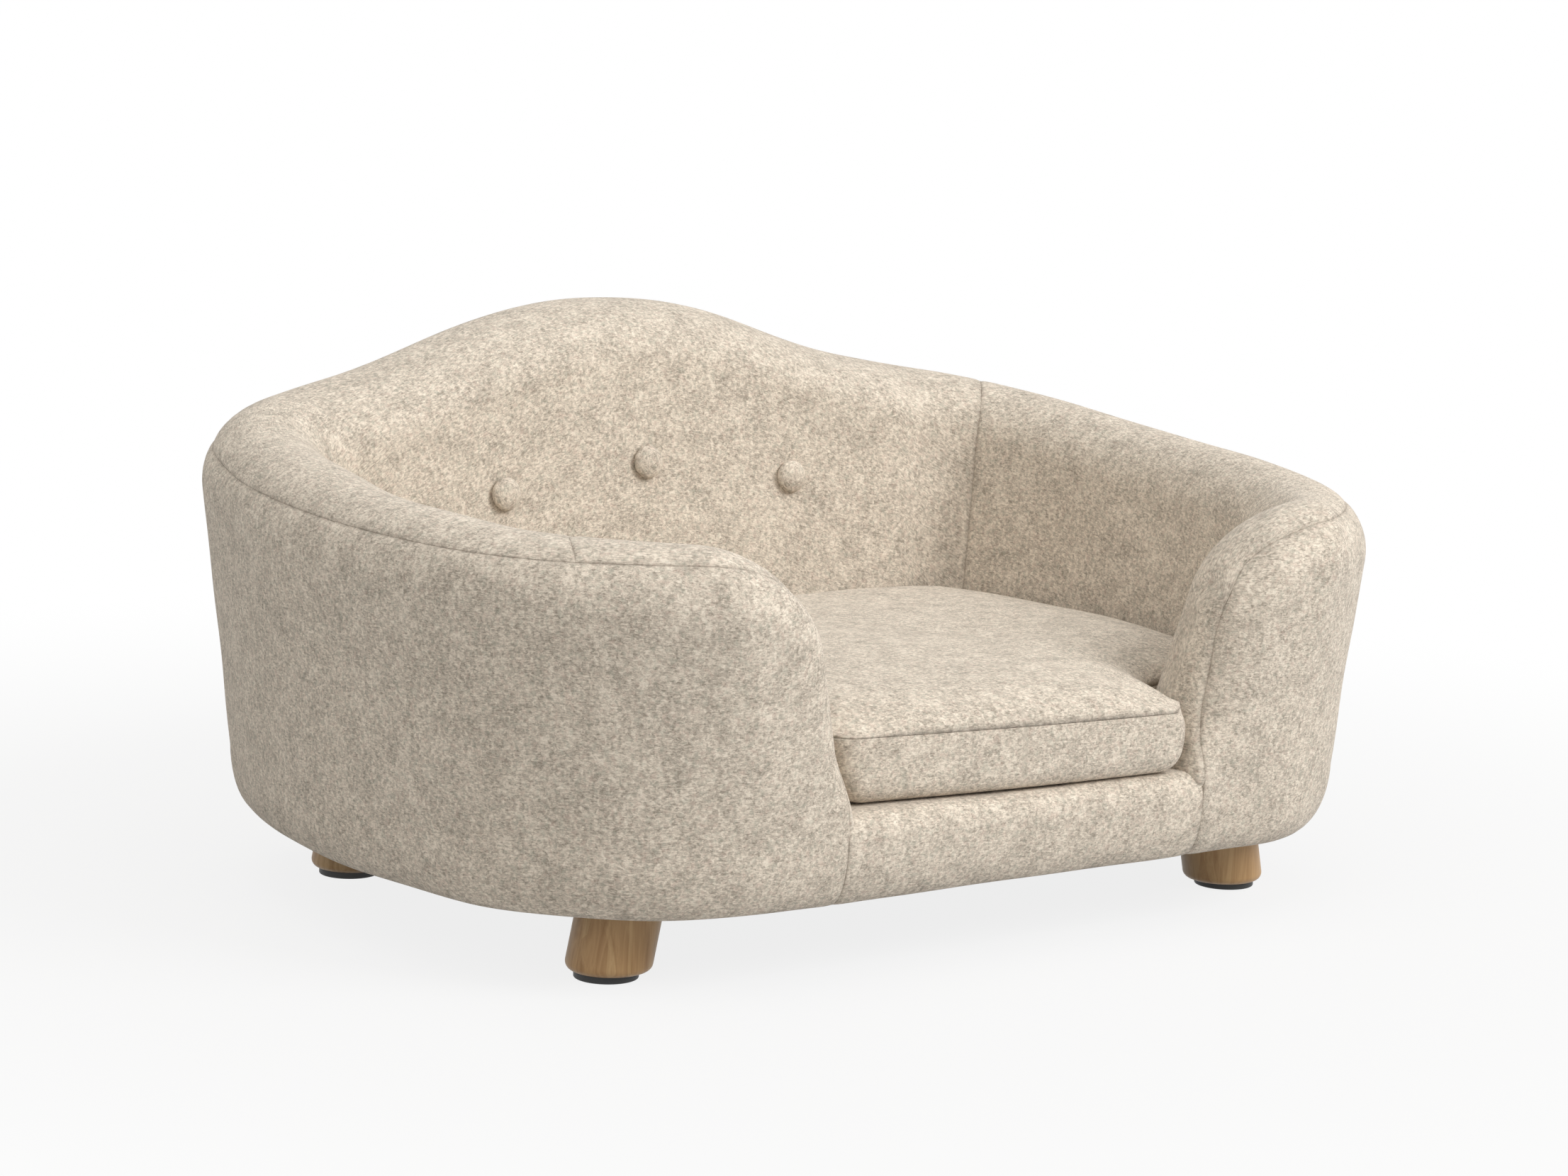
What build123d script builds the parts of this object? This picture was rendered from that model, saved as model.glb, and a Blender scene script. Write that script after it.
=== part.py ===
"""Sofa-shaped pet bed: a padded tub wall on an upholstered base, a loose seat cushion and splayed legs.

Millimetres, +Z up, front towards -Y. The origin is on the floor under the middle of the whole. The tub wall
is carried round a plan outline of tangent arcs. Every layer of it (board, foam, cover) is a ruled loft of the
same cross sections at its own inset, so the layers nest whatever the sizes are.
"""
from build123d import *
import os
from math import atan, atan2, cos, degrees, hypot, radians, sin, sqrt
from typing import NamedTuple

os.makedirs("parts", exist_ok=True)

# Plan outline at the underside of the body: four tangent arcs on each side of a straight front
FRONT_Y = -228.5
SIDE_X = 312.2
SIDE_Y = -11.5
BACK_Y = 220.3
FRONT_CORNER_R = 142.4
SIDE_R = 458.0
BACK_CORNER_R = 112.7
BACK_R = 1625.0

# Heights of the tub wall, its thickness and its outward lean
BODY_BOTTOM = 41.0
ARM_TOP = 239.8
SHOULDER_TOP = 279.8
BACK_TOP = 325.0
HUMP_HALF_WIDTH = 247.0
RISE_POWER = 1.96
ARM_THICK = 70.8
BACK_THICK = 92.0
LEAN = 0.111

# Rounded ends of the arms, each side of the front opening
OPENING_HALF_WIDTH = 99.6
ARM_END_LEAN = 0.273
ARM_END_RUN = 66.0
ARM_END_DROP = 62.4
# angles round an arm's end, seen from above, of the sections in its cap and behind the cap
CAP_ANGLES = (8.0, 20.0, 35.0)
ARM_END_ANGLES = (35.0, 60.0, 90.0)
FAN_SHARES = (1.0, 0.75, 0.5, 0.25)

# Number of sections along each arc of the outline, from the front corner to the back
ARC_STEPS = (6, 4, 6, 3)

# Rounded lower edge of the body and the rounded top of the front rail
EDGE_INSET = 11.0
EDGE_RISE = 36.0
RAIL_ROUND = 14.0
RAIL_SEAM_X = 124.7
SHELF_STEP = 5.0
SHELF_RUN_SHARE = 0.25
SHELF_RISE_SHARE = 0.8

# Cloth and padding
COVER_THICK = 1.5
DUST_COVER_THICK = 0.8
DUST_COVER_INSET = 22.0
COVER_FLAP = 26.0
OUTER_FOAM = 10.0
LAY_GAP = 0.1
SOFT_GAP = 0.3
TOP_SEAM_ANGLE = 42.0
# sections, counted from an arm's seam, where covers and boards meet
LEFT_SEAM_COUNT = 7
RIGHT_SEAM_COUNT = 14
WALL_SPLIT_COUNT = 15

# Boards and rails
BASE_BOARD = 12.0
DECK_BOARD = 9.0
WALL_BOARD = 6.0
WALL_BOARD_DROP = 34.0
DECK_FOAM = 10.0
DECK_TOP = 92.4
RAIL_WIDTH = 18.0
FRONT_RAIL_LENGTH = 280.0
REAR_RAIL_LENGTH = 280.0
REAR_RAIL_SETBACK = 32.0
SIDE_RAIL_LENGTH = 240.0
SIDE_RAIL_SETBACK = 42.0

# Loose cushion
CUSHION_GAP = 3.0
CUSHION_FRONT_SETBACK = 15.0
CUSHION_BACK_GAP = 12.5
CUSHION_BOW = 3.0
CUSHION_CORNER_R = 20.0
CUSHION_BACK_HALF = 118.0
CUSHION_SEAM_IN = 5.0
CUSHION_BAND = 31.0
CUSHION_CROWN = 21.0
CUSHION_WAIST_SHARE = 0.994
# each pair is the share of the outline's size and the share of the crown's height
CROWN_SHARES = ((0.994, 0.2), (0.975, 0.46), (0.94, 0.66), (0.86, 0.84), (0.6, 0.97), (0.3, 1.0))
SOLE_SHARES = ((0.965, 0.0), (0.988, 0.5))

# Zip on the back of the cushion
ZIP_HALF_LENGTH = 112.0
ZIP_TAPE_WIDTH = 22.0
ZIP_TAPE_THICK = 1.0
ZIP_TEETH_WIDTH = 5.0
ZIP_TEETH_THICK = 0.7
SLIDER_LENGTH = 9.0
SLIDER_WIDTH = 7.5
SLIDER_THICK = 1.6
SLIDER_CORNER_R = 1.8
PULL_LENGTH = 17.0
PULL_WIDTH = 5.0
PULL_THICK = 0.8
PULL_CORNER_R = 1.2
SLIDER_START_INSET = 6.0

# Covered buttons with their ties and washers
SIDE_BUTTON_HEIGHT = 215.4
CENTRE_BUTTON_HEIGHT = 229.1
SIDE_BUTTON_SHARE = 0.3
BUTTON_DIA = 20.0
BUTTON_RIM = 2.0
BUTTON_DOME = 5.0
BUTTON_LIFT = 0.3
TIE_DIA = 2.0
BUTTON_WASHER_DIA = 18.0
BUTTON_WASHER_THICK = 1.5

# Legs with hanger bolts and tee nuts, and glides with their screws
LEG_DIA = 46.5
LEG_SPLAY = 0.213
LEG_FOOT_X = 221.5
LEG_FRONT_Y = -149.4
LEG_BACK_Y = 122.6
LEG_EDGE_R = 4.5
BOLT_DIA = 8.0
BOLT_IN_LEG = 26.0
BOLT_PROUD = 1.5
BORE_CLEARANCE = 0.1
TEE_BARREL_DIA = 10.0
TEE_FLANGE_DIA = 24.0
TEE_FLANGE_THICK = 1.5
GLIDE_DIA = 35.0
GLIDE_THICK = 4.0
GLIDE_EDGE = 0.8
GLIDE_SCREW_DIA = 3.5
GLIDE_SCREW_HEAD_DIA = 7.5
GLIDE_SCREW_HEAD = 2.0
GLIDE_SCREW_LENGTH = 16.0

# Screws through the wall boards into the deck board's edge
WALL_SCREW_DIA = 3.0
WALL_SCREW_HEAD_DIA = 6.5
WALL_SCREW_HEAD = 1.6
WALL_SCREW_LENGTH = 22.0
WALL_SCREW_SINK = 0.6
SCREW_STEPS = (4, 7, 10, 12, 16, 20)
SCREW_SHARE = 0.5

# Overrun of every cut past the face that it starts from
OVERRUN = 2.0

# Levels and insets that follow from the sizes above
ARM_HALF = ARM_THICK / 2
LEAN_ANGLE = degrees(atan(LEAN))
LEAN_COS = cos(atan(LEAN))
LEAN_SIN = sin(atan(LEAN))
UNDER = BODY_BOTTOM + DUST_COVER_THICK + LAY_GAP
BASE_LOW = UNDER + COVER_THICK + LAY_GAP
BASE_TOP = BASE_LOW + BASE_BOARD
FOAM_INSET = COVER_THICK + LAY_GAP
BOARD_OUT = FOAM_INSET + OUTER_FOAM + LAY_GAP
BOARD_IN = BOARD_OUT + WALL_BOARD
DECK_FOAM_TOP = DECK_TOP - COVER_THICK - LAY_GAP
DECK_BOARD_TOP = DECK_FOAM_TOP - DECK_FOAM - LAY_GAP
DECK_BOARD_LOW = DECK_BOARD_TOP - DECK_BOARD
FOAM_FLOOR = DECK_BOARD_TOP + LAY_GAP
EDGE_TOP = UNDER + EDGE_RISE


class Station(NamedTuple):
    """A place on the plan outline: point, outward normal, sideways lean and distance from the arm's tip."""
    x: float
    y: float
    nx: float
    ny: float
    fan: float
    gap: float

    def at(self, out, z):
        """Point at a distance outwards and a height, in the plane of this section."""
        slide = self.fan * (z - BODY_BOTTOM)
        return Vector(self.x + self.nx * out - self.ny * slide, self.y + self.ny * out + self.nx * slide, z)


def mirrored(station):
    """The same section on the left side."""
    return Station(-station.x, station.y, -station.nx, station.ny, -station.fan, station.gap)


def between(first, second, share):
    """Section at a share of the way along the straight between two sections."""
    return Station(*[a + (b - a) * share for a, b in zip(first, second)])


def outline_arcs(offset=0.0):
    """Centre, radius, first and last normal angle of each arc on the right side, front to back."""
    front_y = FRONT_Y + FRONT_CORNER_R
    side_x = SIDE_X - SIDE_R
    front_x = side_x + sqrt((SIDE_R - FRONT_CORNER_R) ** 2 - (front_y - SIDE_Y) ** 2)
    back_y = BACK_Y - BACK_R
    reach_side = SIDE_R - BACK_CORNER_R
    reach_back = BACK_R - BACK_CORNER_R
    span = hypot(side_x, back_y - SIDE_Y)
    along = (reach_side ** 2 - reach_back ** 2 + span ** 2) / (2 * span)
    across = sqrt(reach_side ** 2 - along ** 2)
    ux = -side_x / span
    uy = (back_y - SIDE_Y) / span
    corner_x = side_x + along * ux - across * uy
    corner_y = SIDE_Y + along * uy + across * ux
    first = degrees(atan2(front_y - SIDE_Y, front_x - side_x))
    second = degrees(atan2(corner_y - SIDE_Y, corner_x - side_x))
    third = degrees(atan2(corner_y - back_y, corner_x))
    return (
        (front_x, front_y, FRONT_CORNER_R + offset, -90.0, first),
        (side_x, SIDE_Y, SIDE_R + offset, first, second),
        (corner_x, corner_y, BACK_CORNER_R + offset, second, third),
        (0.0, back_y, BACK_R + offset, third, 90.0),
    )


def arm_end(angle, inset):
    """Section near an arm's rounded tip, at an angle round its end as seen from above."""
    gap = inset + (ARM_HALF - inset) * (1 - cos(radians(angle)))
    return Station(OPENING_HALF_WIDTH + gap, FRONT_Y, 0.0, -1.0, ARM_END_LEAN, gap)


def right_stations():
    """Sections from the right arm's seam, round the side, to the middle of the back."""
    stations = [arm_end(angle, 0.0) for angle in ARM_END_ANGLES]
    x, y, radius, first, _ = outline_arcs()[0]
    places = [(x, y, radius, first)]
    for (x, y, radius, first, last), steps in zip(outline_arcs(), ARC_STEPS):
        places += [(x, y, radius, first + (last - first) * (step + 1) / steps) for step in range(steps)]
    for place, (x, y, radius, angle) in enumerate(places):
        nx = cos(radians(angle))
        ny = sin(radians(angle))
        px = x + radius * nx
        py = y + radius * ny
        gap = stations[-1].gap + hypot(px - stations[-1].x, py - stations[-1].y)
        fan = ARM_END_LEAN * FAN_SHARES[place] if place < len(FAN_SHARES) else 0.0
        stations.append(Station(px, py, nx, ny, fan, gap))
    return stations


RIGHT = right_stations()
PATH = [mirrored(station) for station in RIGHT] + RIGHT[-2::-1]
FULL = len(ARM_END_ANGLES) - 1
# first, middle and last section of the back corner's arc
CORNER_START = len(ARM_END_ANGLES) + ARC_STEPS[0] + ARC_STEPS[1]
CORNER_END = CORNER_START + ARC_STEPS[2]
CORNER_MIDDLE = (CORNER_START + CORNER_END) // 2


def thickness(station):
    """Full thickness of the wall, which grows round the back corners from the arms' to the back's."""
    start = RIGHT[CORNER_START].gap
    share = (station.gap - start) / (RIGHT[CORNER_END].gap - start)
    return ARM_THICK + (BACK_THICK - ARM_THICK) * min(1.0, max(0.0, share))


def half_thickness(station, inset):
    """Half of the wall's thickness at a section, less the inset, rounded off at the arm's tip."""
    if station.gap >= ARM_HALF:
        return thickness(station) / 2 - inset
    return sqrt(max(0.0, (ARM_HALF - inset) ** 2 - (ARM_HALF - station.gap) ** 2))


def top_height(station, inset):
    """Height of a layer's top: a rise towards the back, a hump in the middle and a drop at the arm's tip."""
    share = (station.y - FRONT_Y) / (BACK_Y - FRONT_Y)
    top = ARM_TOP + (SHOULDER_TOP - ARM_TOP) * share ** RISE_POWER - inset
    if station.y > SIDE_Y and abs(station.x) < HUMP_HALF_WIDTH:
        top += (BACK_TOP - SHOULDER_TOP) * cos(radians(90 * station.x / HUMP_HALF_WIDTH)) ** 2
    if station.gap < ARM_END_RUN:
        reach = (ARM_END_RUN - station.gap) / (ARM_END_RUN - inset)
        top -= (ARM_END_DROP - inset) * (1 - sqrt(max(0.0, 1 - reach ** 2)))
    return top


def roll(station, inset):
    """Centre and radius of the rounded top of a section."""
    radius = half_thickness(station, inset)
    height = top_height(station, inset) - radius
    return LEAN * (height - BODY_BOTTOM) - thickness(station) / 2 / LEAN_COS, height, radius


def on_roll(station, inset, angle):
    """Point on the rounded top, at an angle from the outward direction."""
    out, height, radius = roll(station, inset)
    return out + radius * cos(radians(angle)), height + radius * sin(radians(angle))


def face_point(station, inset, height, side):
    """Point on the outer (1) or inner (-1) face of the leaning wall at a height."""
    out, centre, radius = roll(station, inset)
    foot = centre - side * radius * LEAN_SIN
    return out + side * radius * LEAN_COS + (height - foot) * LEAN, height


def outer_point(inset, height):
    """Point on the outer face of the full wall."""
    return LEAN * (height - BODY_BOTTOM) - inset / LEAN_COS, height


def inner_point(station, inset, height):
    """Point on the inner face of the full wall."""
    return outer_point(thickness(station) - inset, height)


def edge_roll(inset):
    """Rounded lower edge of the body, from the underside to the outer face."""
    low = (-EDGE_INSET, UNDER + inset)
    high = outer_point(inset, EDGE_TOP)
    bulge = sin(radians(45))
    mid = (low[0] + (high[0] - low[0]) * bulge, high[1] - (high[1] - low[1]) * bulge)
    return [low, mid, high]


def lower_front(station, inset):
    """Lower edge, and the step from the front rail's face back to the arm's rounded end."""
    low = outer_point(inset, EDGE_TOP)
    high = face_point(station, inset, DECK_TOP - inset, 1)
    mid = (low[0] + (high[0] - low[0]) * SHELF_RUN_SHARE, low[1] + (high[1] - low[1]) * SHELF_RISE_SHARE)
    if station.gap >= ARM_HALF:
        mid = outer_point(inset, mid[1])
    return [edge_roll(inset), [low, mid], [mid, high]]


def outer_side(station, inset):
    """Outer face from the underside to where the rounded top starts."""
    lower = lower_front(station, inset)
    return lower + [[lower[-1][-1], on_roll(station, inset, -LEAN_ANGLE)]]


def roll_arc(station, inset, first, last):
    """Arc of the rounded top between two angles."""
    return [on_roll(station, inset, angle) for angle in (first, (first + last) / 2, last)]


def whole_roll(station, inset):
    """The rounded top from its outer to its inner end, parted where the covers meet."""
    angles = (-LEAN_ANGLE, TOP_SEAM_ANGLE, 90, 180 - LEAN_ANGLE)
    return [roll_arc(station, inset, first, last) for first, last in zip(angles, angles[1:])]


def inner_side(station, inset, floor):
    """Inner face from the rounded top down to a floor height."""
    start = on_roll(station, inset, 180 - LEAN_ANGLE)
    shelf = face_point(station, inset, DECK_TOP - inset, -1)
    low = inner_point(station, inset, DECK_TOP - inset - SHELF_STEP)
    return [[start, shelf], [shelf, low], [low, inner_point(station, inset, floor)]]


def join(segments, points):
    """Close a row of segments with straight lines through further points."""
    corners = [segments[-1][-1]] + list(points) + [segments[0][0]]
    return segments + [[a, b] for a, b in zip(corners, corners[1:])]


def band(first, second):
    """Closed outline of a thin layer between two like rows of segments."""
    back = [segment[::-1] for segment in second[::-1]]
    return first + [[first[-1][-1], back[0][0]]] + back + [[back[-1][-1], first[0][0]]]


def wire_of(points_of, segments):
    """Closed wire of lines and three-point arcs, each point placed by a function."""
    edges = []
    for segment in segments:
        points = [points_of(*point) for point in segment]
        edges.append(Edge.make_line(*points) if len(points) == 2 else Edge.make_three_point_arc(*points))
    return Wire(edges)


def carried(stations, section):
    """Ruled loft of a section along the stations."""
    return Solid.make_loft([wire_of(station.at, section(station)) for station in stations], True)


def save(shape, name):
    """Write one sub-part."""
    shape.label = name
    export_step(shape, f"parts/{name}.step")


def group(shapes):
    """Several separate solids kept in one sub-part."""
    return Compound(children=[solid for shape in shapes for solid in shape.solids()])


def slab(out_of, low, high):
    """Flat board or sheet in the tub, reaching out at each of the wall's sections as a function says."""
    corners = [station.at(out_of(station), low) for station in PATH[FULL + 1:len(PATH) - 1 - FULL]]
    edges = [Edge.make_line(a, b) for a, b in zip(corners, corners[1:] + corners[:1])]
    return extrude(Face(Wire(edges)), high - low, dir=(0, 0, 1))


def box_between(low, high):
    """Box from its lowest to its highest corner."""
    size = [b - a for a, b in zip(low, high)]
    middle = [(a + b) / 2 for a, b in zip(low, high)]
    return Pos(*middle) * Box(*size)


def rod(plane, radius, start, end):
    """Round bar along a plane's normal between two distances."""
    return plane * Pos(0, 0, (start + end) / 2) * Cylinder(radius, end - start)


# Wall boards: three bent panels round the tub and a low one across the front
def board_section(station):
    top = top_height(station, 0.0) - WALL_BOARD_DROP
    row = [[outer_point(BOARD_OUT, BASE_TOP + LAY_GAP), outer_point(BOARD_OUT, top)]]
    return join(row, [outer_point(BOARD_IN, top), outer_point(BOARD_IN, BASE_TOP + LAY_GAP)])


def front_board_section(station):
    row = [[outer_point(BOARD_OUT, BASE_TOP + LAY_GAP), outer_point(BOARD_OUT, DECK_BOARD_TOP)]]
    return join(row, [outer_point(BOARD_IN, DECK_BOARD_TOP), outer_point(BOARD_IN, BASE_TOP + LAY_GAP)])


SPLIT_LEFT = WALL_SPLIT_COUNT
SPLIT_RIGHT = len(PATH) - 1 - WALL_SPLIT_COUNT
left_run = PATH[FULL:SPLIT_LEFT + 1]
back_run = PATH[SPLIT_LEFT:SPLIT_RIGHT + 1]
right_run = PATH[SPLIT_RIGHT:len(PATH) - FULL]
front_run = [PATH[FULL], PATH[-1 - FULL]]

left_wall_panel = carried(left_run, board_section)
back_wall_panel = carried(back_run, board_section)
right_wall_panel = carried(right_run, board_section)
front_panel = carried(front_run, front_board_section)


# Wall padding: a saddle over the board, and a solid roll on each arm's end
def saddle_section(station):
    inset = FOAM_INSET
    slot_top = top_height(station, 0.0) - WALL_BOARD_DROP + LAY_GAP
    row = outer_side(station, inset)
    row += whole_roll(station, inset)
    row += inner_side(station, inset, FOAM_FLOOR)
    return join(row, [
        outer_point(BOARD_IN + LAY_GAP, FOAM_FLOOR),
        outer_point(BOARD_IN + LAY_GAP, slot_top),
        outer_point(BOARD_OUT - LAY_GAP, slot_top),
        outer_point(BOARD_OUT - LAY_GAP, UNDER + inset),
    ])


def end_roll_section(station):
    inset = FOAM_INSET
    row = outer_side(station, inset)
    row += whole_roll(station, inset)
    row += inner_side(station, inset, FOAM_FLOOR)
    back = BOARD_OUT - LAY_GAP
    return join(row, [outer_point(back, FOAM_FLOOR), outer_point(back, UNDER + inset)])


left_wall_foam = carried(left_run, saddle_section)
back_wall_foam = carried(back_run, saddle_section)
right_wall_foam = carried(right_run, saddle_section)
end_stations = [arm_end(CAP_ANGLES[0], FOAM_INSET)]
end_stations += [arm_end(angle, 0.0) for angle in CAP_ANGLES[1:] + ARM_END_ANGLES[1:]]
right_arm_end_foam = carried(end_stations, end_roll_section)
left_arm_end_foam = carried([mirrored(station) for station in end_stations], end_roll_section)


# Front rail: padding and cover between the two arm ends
def rail_top(inset):
    """Rounded top of the front rail and the flat behind it."""
    low = outer_point(inset, EDGE_TOP)
    high = (outer_point(0.0, DECK_TOP)[0] - RAIL_ROUND, DECK_TOP - inset)
    bulge = sin(radians(45))
    mid = (high[0] + (low[0] - high[0]) * bulge, low[1] + (high[1] - low[1]) * bulge)
    return [[low, mid, high], [high, outer_point(ARM_THICK, DECK_TOP - inset)]]


def rail_foam_section(station):
    inset = FOAM_INSET
    row = [edge_roll(inset)] + rail_top(inset)
    return join(row, [
        outer_point(ARM_THICK, FOAM_FLOOR),
        outer_point(BOARD_OUT - LAY_GAP, FOAM_FLOOR),
        outer_point(BOARD_OUT - LAY_GAP, UNDER + inset),
    ])


def flap(inset):
    """Cover turned in under the base board."""
    return [(-EDGE_INSET - COVER_FLAP, UNDER + inset), (-EDGE_INSET, UNDER + inset)]


def rail_cover_section(station):
    rows = [[flap(inset), edge_roll(inset)] + rail_top(inset) for inset in (0.0, COVER_THICK)]
    return band(*rows)


def rail_strip_section(station):
    rows = [[flap(inset)] + lower_front(station, inset) for inset in (0.0, COVER_THICK)]
    return band(*rows)


tips = [arm_end(angle, 0.0) for angle in CAP_ANGLES]
front_rail_foam = carried([mirrored(tips[0]), tips[0]], rail_foam_section)
front_rail_cover = carried([mirrored(tips[0]), tips[0]], rail_cover_section)
front_rail_cover += carried(tips, rail_strip_section)
front_rail_cover += carried([mirrored(station) for station in tips], rail_strip_section)


# Outer cover in one piece, and the inner cover in three, meeting it along the top seam
def outer_cover_section(station):
    rows = []
    for inset in (0.0, COVER_THICK):
        row = [flap(inset)] + outer_side(station, inset)
        rows.append(row + [roll_arc(station, inset, -LEAN_ANGLE, TOP_SEAM_ANGLE)])
    return band(*rows)


def inner_cover_section(station):
    rows = []
    for inset in (0.0, COVER_THICK):
        row = [roll_arc(station, inset, TOP_SEAM_ANGLE, 90), roll_arc(station, inset, 90, 180 - LEAN_ANGLE)]
        rows.append(row + inner_side(station, inset, FOAM_FLOOR))
    return band(*rows)


def cap_section(inset, floor):
    """Whole rounded arm end above the deck, used for the cover's cap."""
    def section(station):
        row = [[face_point(station, inset, floor, 1), on_roll(station, inset, -LEAN_ANGLE)]]
        row += whole_roll(station, inset)
        row.append([on_roll(station, inset, 180 - LEAN_ANGLE), face_point(station, inset, floor, -1)])
        return join(row, [])
    return section


def arm_cap(turn):
    """Cloth over the tip of one arm, in front of its seam."""
    skin = [turn(station) for station in tips]
    core = [turn(arm_end(CAP_ANGLES[0], COVER_THICK))]
    core += [turn(arm_end(angle, 0.0)) for angle in CAP_ANGLES[1:] + ARM_END_ANGLES[1:2]]
    hollow = carried(core, cap_section(COVER_THICK, DECK_TOP - OVERRUN))
    return carried(skin, cap_section(0.0, DECK_TOP)) - hollow


def rail_end(side):
    """Space where the front rail's cover runs on under an arm, as far as its upright seam."""
    room = EDGE_INSET + COVER_FLAP + OVERRUN
    inner = side * OPENING_HALF_WIDTH
    outer = side * RAIL_SEAM_X
    return box_between((min(inner, outer), FRONT_Y - room, BODY_BOTTOM),
                       (max(inner, outer), FRONT_Y + room, DECK_TOP - SHELF_STEP))


outer_cover = carried(PATH, outer_cover_section)
for side in (-1, 1):
    front_rail_cover += outer_cover & rail_end(side)
    outer_cover -= rail_end(side)
LEFT_SEAM = LEFT_SEAM_COUNT
RIGHT_SEAM = len(PATH) - 1 - RIGHT_SEAM_COUNT
left_arm_cover = carried(PATH[:LEFT_SEAM + 1], inner_cover_section) + arm_cap(mirrored)
back_cover = carried(PATH[LEFT_SEAM:RIGHT_SEAM + 1], inner_cover_section)
right_arm_cover = carried(PATH[RIGHT_SEAM:], inner_cover_section) + arm_cap(lambda station: station)

# Base and seat deck
def base_edge(_):
    return outer_point(BOARD_OUT, BASE_LOW)[0]


def deck_board_edge(_):
    return outer_point(BOARD_IN + LAY_GAP, DECK_BOARD_LOW)[0]


def deck_foam_edge(station):
    return inner_point(station, -SOFT_GAP, FOAM_FLOOR)[0]


def deck_cloth_edge(station):
    return inner_point(station, -SOFT_GAP, DECK_FOAM_TOP)[0]


def dust_cover_edge(_):
    return -DUST_COVER_INSET


base_board = slab(base_edge, BASE_LOW, BASE_TOP)
deck_board = slab(deck_board_edge, DECK_BOARD_LOW, DECK_BOARD_TOP)
deck_foam = slab(deck_foam_edge, FOAM_FLOOR, DECK_FOAM_TOP)
deck_cloth = slab(deck_cloth_edge, DECK_TOP - COVER_THICK, DECK_TOP)
dust_cover = slab(dust_cover_edge, BODY_BOTTOM, BODY_BOTTOM + DUST_COVER_THICK)

front_rail_y = FRONT_Y + BOARD_IN + SOFT_GAP
rear_rail_y = BACK_Y - REAR_RAIL_SETBACK
side_rail_x = SIDE_X - SIDE_RAIL_SETBACK
rail_low = BASE_TOP
front_rail = box_between((-FRONT_RAIL_LENGTH / 2, front_rail_y, rail_low),
                         (FRONT_RAIL_LENGTH / 2, front_rail_y + RAIL_WIDTH, DECK_BOARD_LOW))
rear_rail = box_between((-REAR_RAIL_LENGTH / 2, rear_rail_y - RAIL_WIDTH, rail_low),
                        (REAR_RAIL_LENGTH / 2, rear_rail_y, DECK_BOARD_LOW))
right_rail = box_between((side_rail_x - RAIL_WIDTH, SIDE_Y - SIDE_RAIL_LENGTH / 2, rail_low),
                         (side_rail_x, SIDE_Y + SIDE_RAIL_LENGTH / 2, DECK_BOARD_LOW))
left_rail = mirror(right_rail, Plane.YZ)
centre_rail = box_between((-RAIL_WIDTH / 2, front_rail_y + RAIL_WIDTH, rail_low),
                          (RAIL_WIDTH / 2, rear_rail_y - RAIL_WIDTH, DECK_BOARD_LOW))


# Screws through the wall boards into the edge of the deck board
def screw_plane(station):
    """Plane on a wall board's outer face, its normal pointing inwards."""
    height = (DECK_BOARD_LOW + DECK_BOARD_TOP) / 2
    out = outer_point(BOARD_OUT, height)[0] - WALL_SCREW_SINK
    origin = (station.x + station.nx * out, station.y + station.ny * out, height)
    return Plane(origin, z_dir=(-station.nx, -station.ny, 0))


def wall_screw(station, clearance=0.0):
    """Screw, or with a clearance the hole that it needs."""
    plane = screw_plane(station)
    lead = OVERRUN if clearance else 0.0
    head = rod(plane, WALL_SCREW_HEAD_DIA / 2 + clearance, -lead, WALL_SCREW_HEAD)
    return head + rod(plane, WALL_SCREW_DIA / 2 + clearance, 0.0, WALL_SCREW_LENGTH)


screw_stations = [between(RIGHT[step], RIGHT[step + 1], SCREW_SHARE) for step in SCREW_STEPS]
screw_stations += [mirrored(station) for station in screw_stations]
wall_screws = group([wall_screw(station) for station in screw_stations])
for station in screw_stations:
    hole = wall_screw(station, BORE_CLEARANCE)
    left_wall_panel -= hole
    back_wall_panel -= hole
    right_wall_panel -= hole
    deck_board -= hole


# Covered buttons, tied through the back to washers behind the board
def button_plane(station, height):
    """Plane just off the inner face of the back, its normal pointing into the tub."""
    out = inner_point(station, 0.0, height)[0] - BUTTON_LIFT
    origin = station.at(out, height)
    return Plane(origin, z_dir=(-station.nx * LEAN_COS, -station.ny * LEAN_COS, LEAN_SIN))


def button(plane):
    """Domed, cloth-covered button."""
    half = BUTTON_DIA / 2
    dome_r = (half ** 2 + BUTTON_DOME ** 2) / (2 * BUTTON_DOME)
    dome = plane * Pos(0, 0, BUTTON_RIM + BUTTON_DOME - dome_r) * Sphere(dome_r)
    dome &= rod(plane, half, BUTTON_RIM, BUTTON_RIM + BUTTON_DOME)
    return dome + rod(plane, half, LAY_GAP, BUTTON_RIM)


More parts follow.
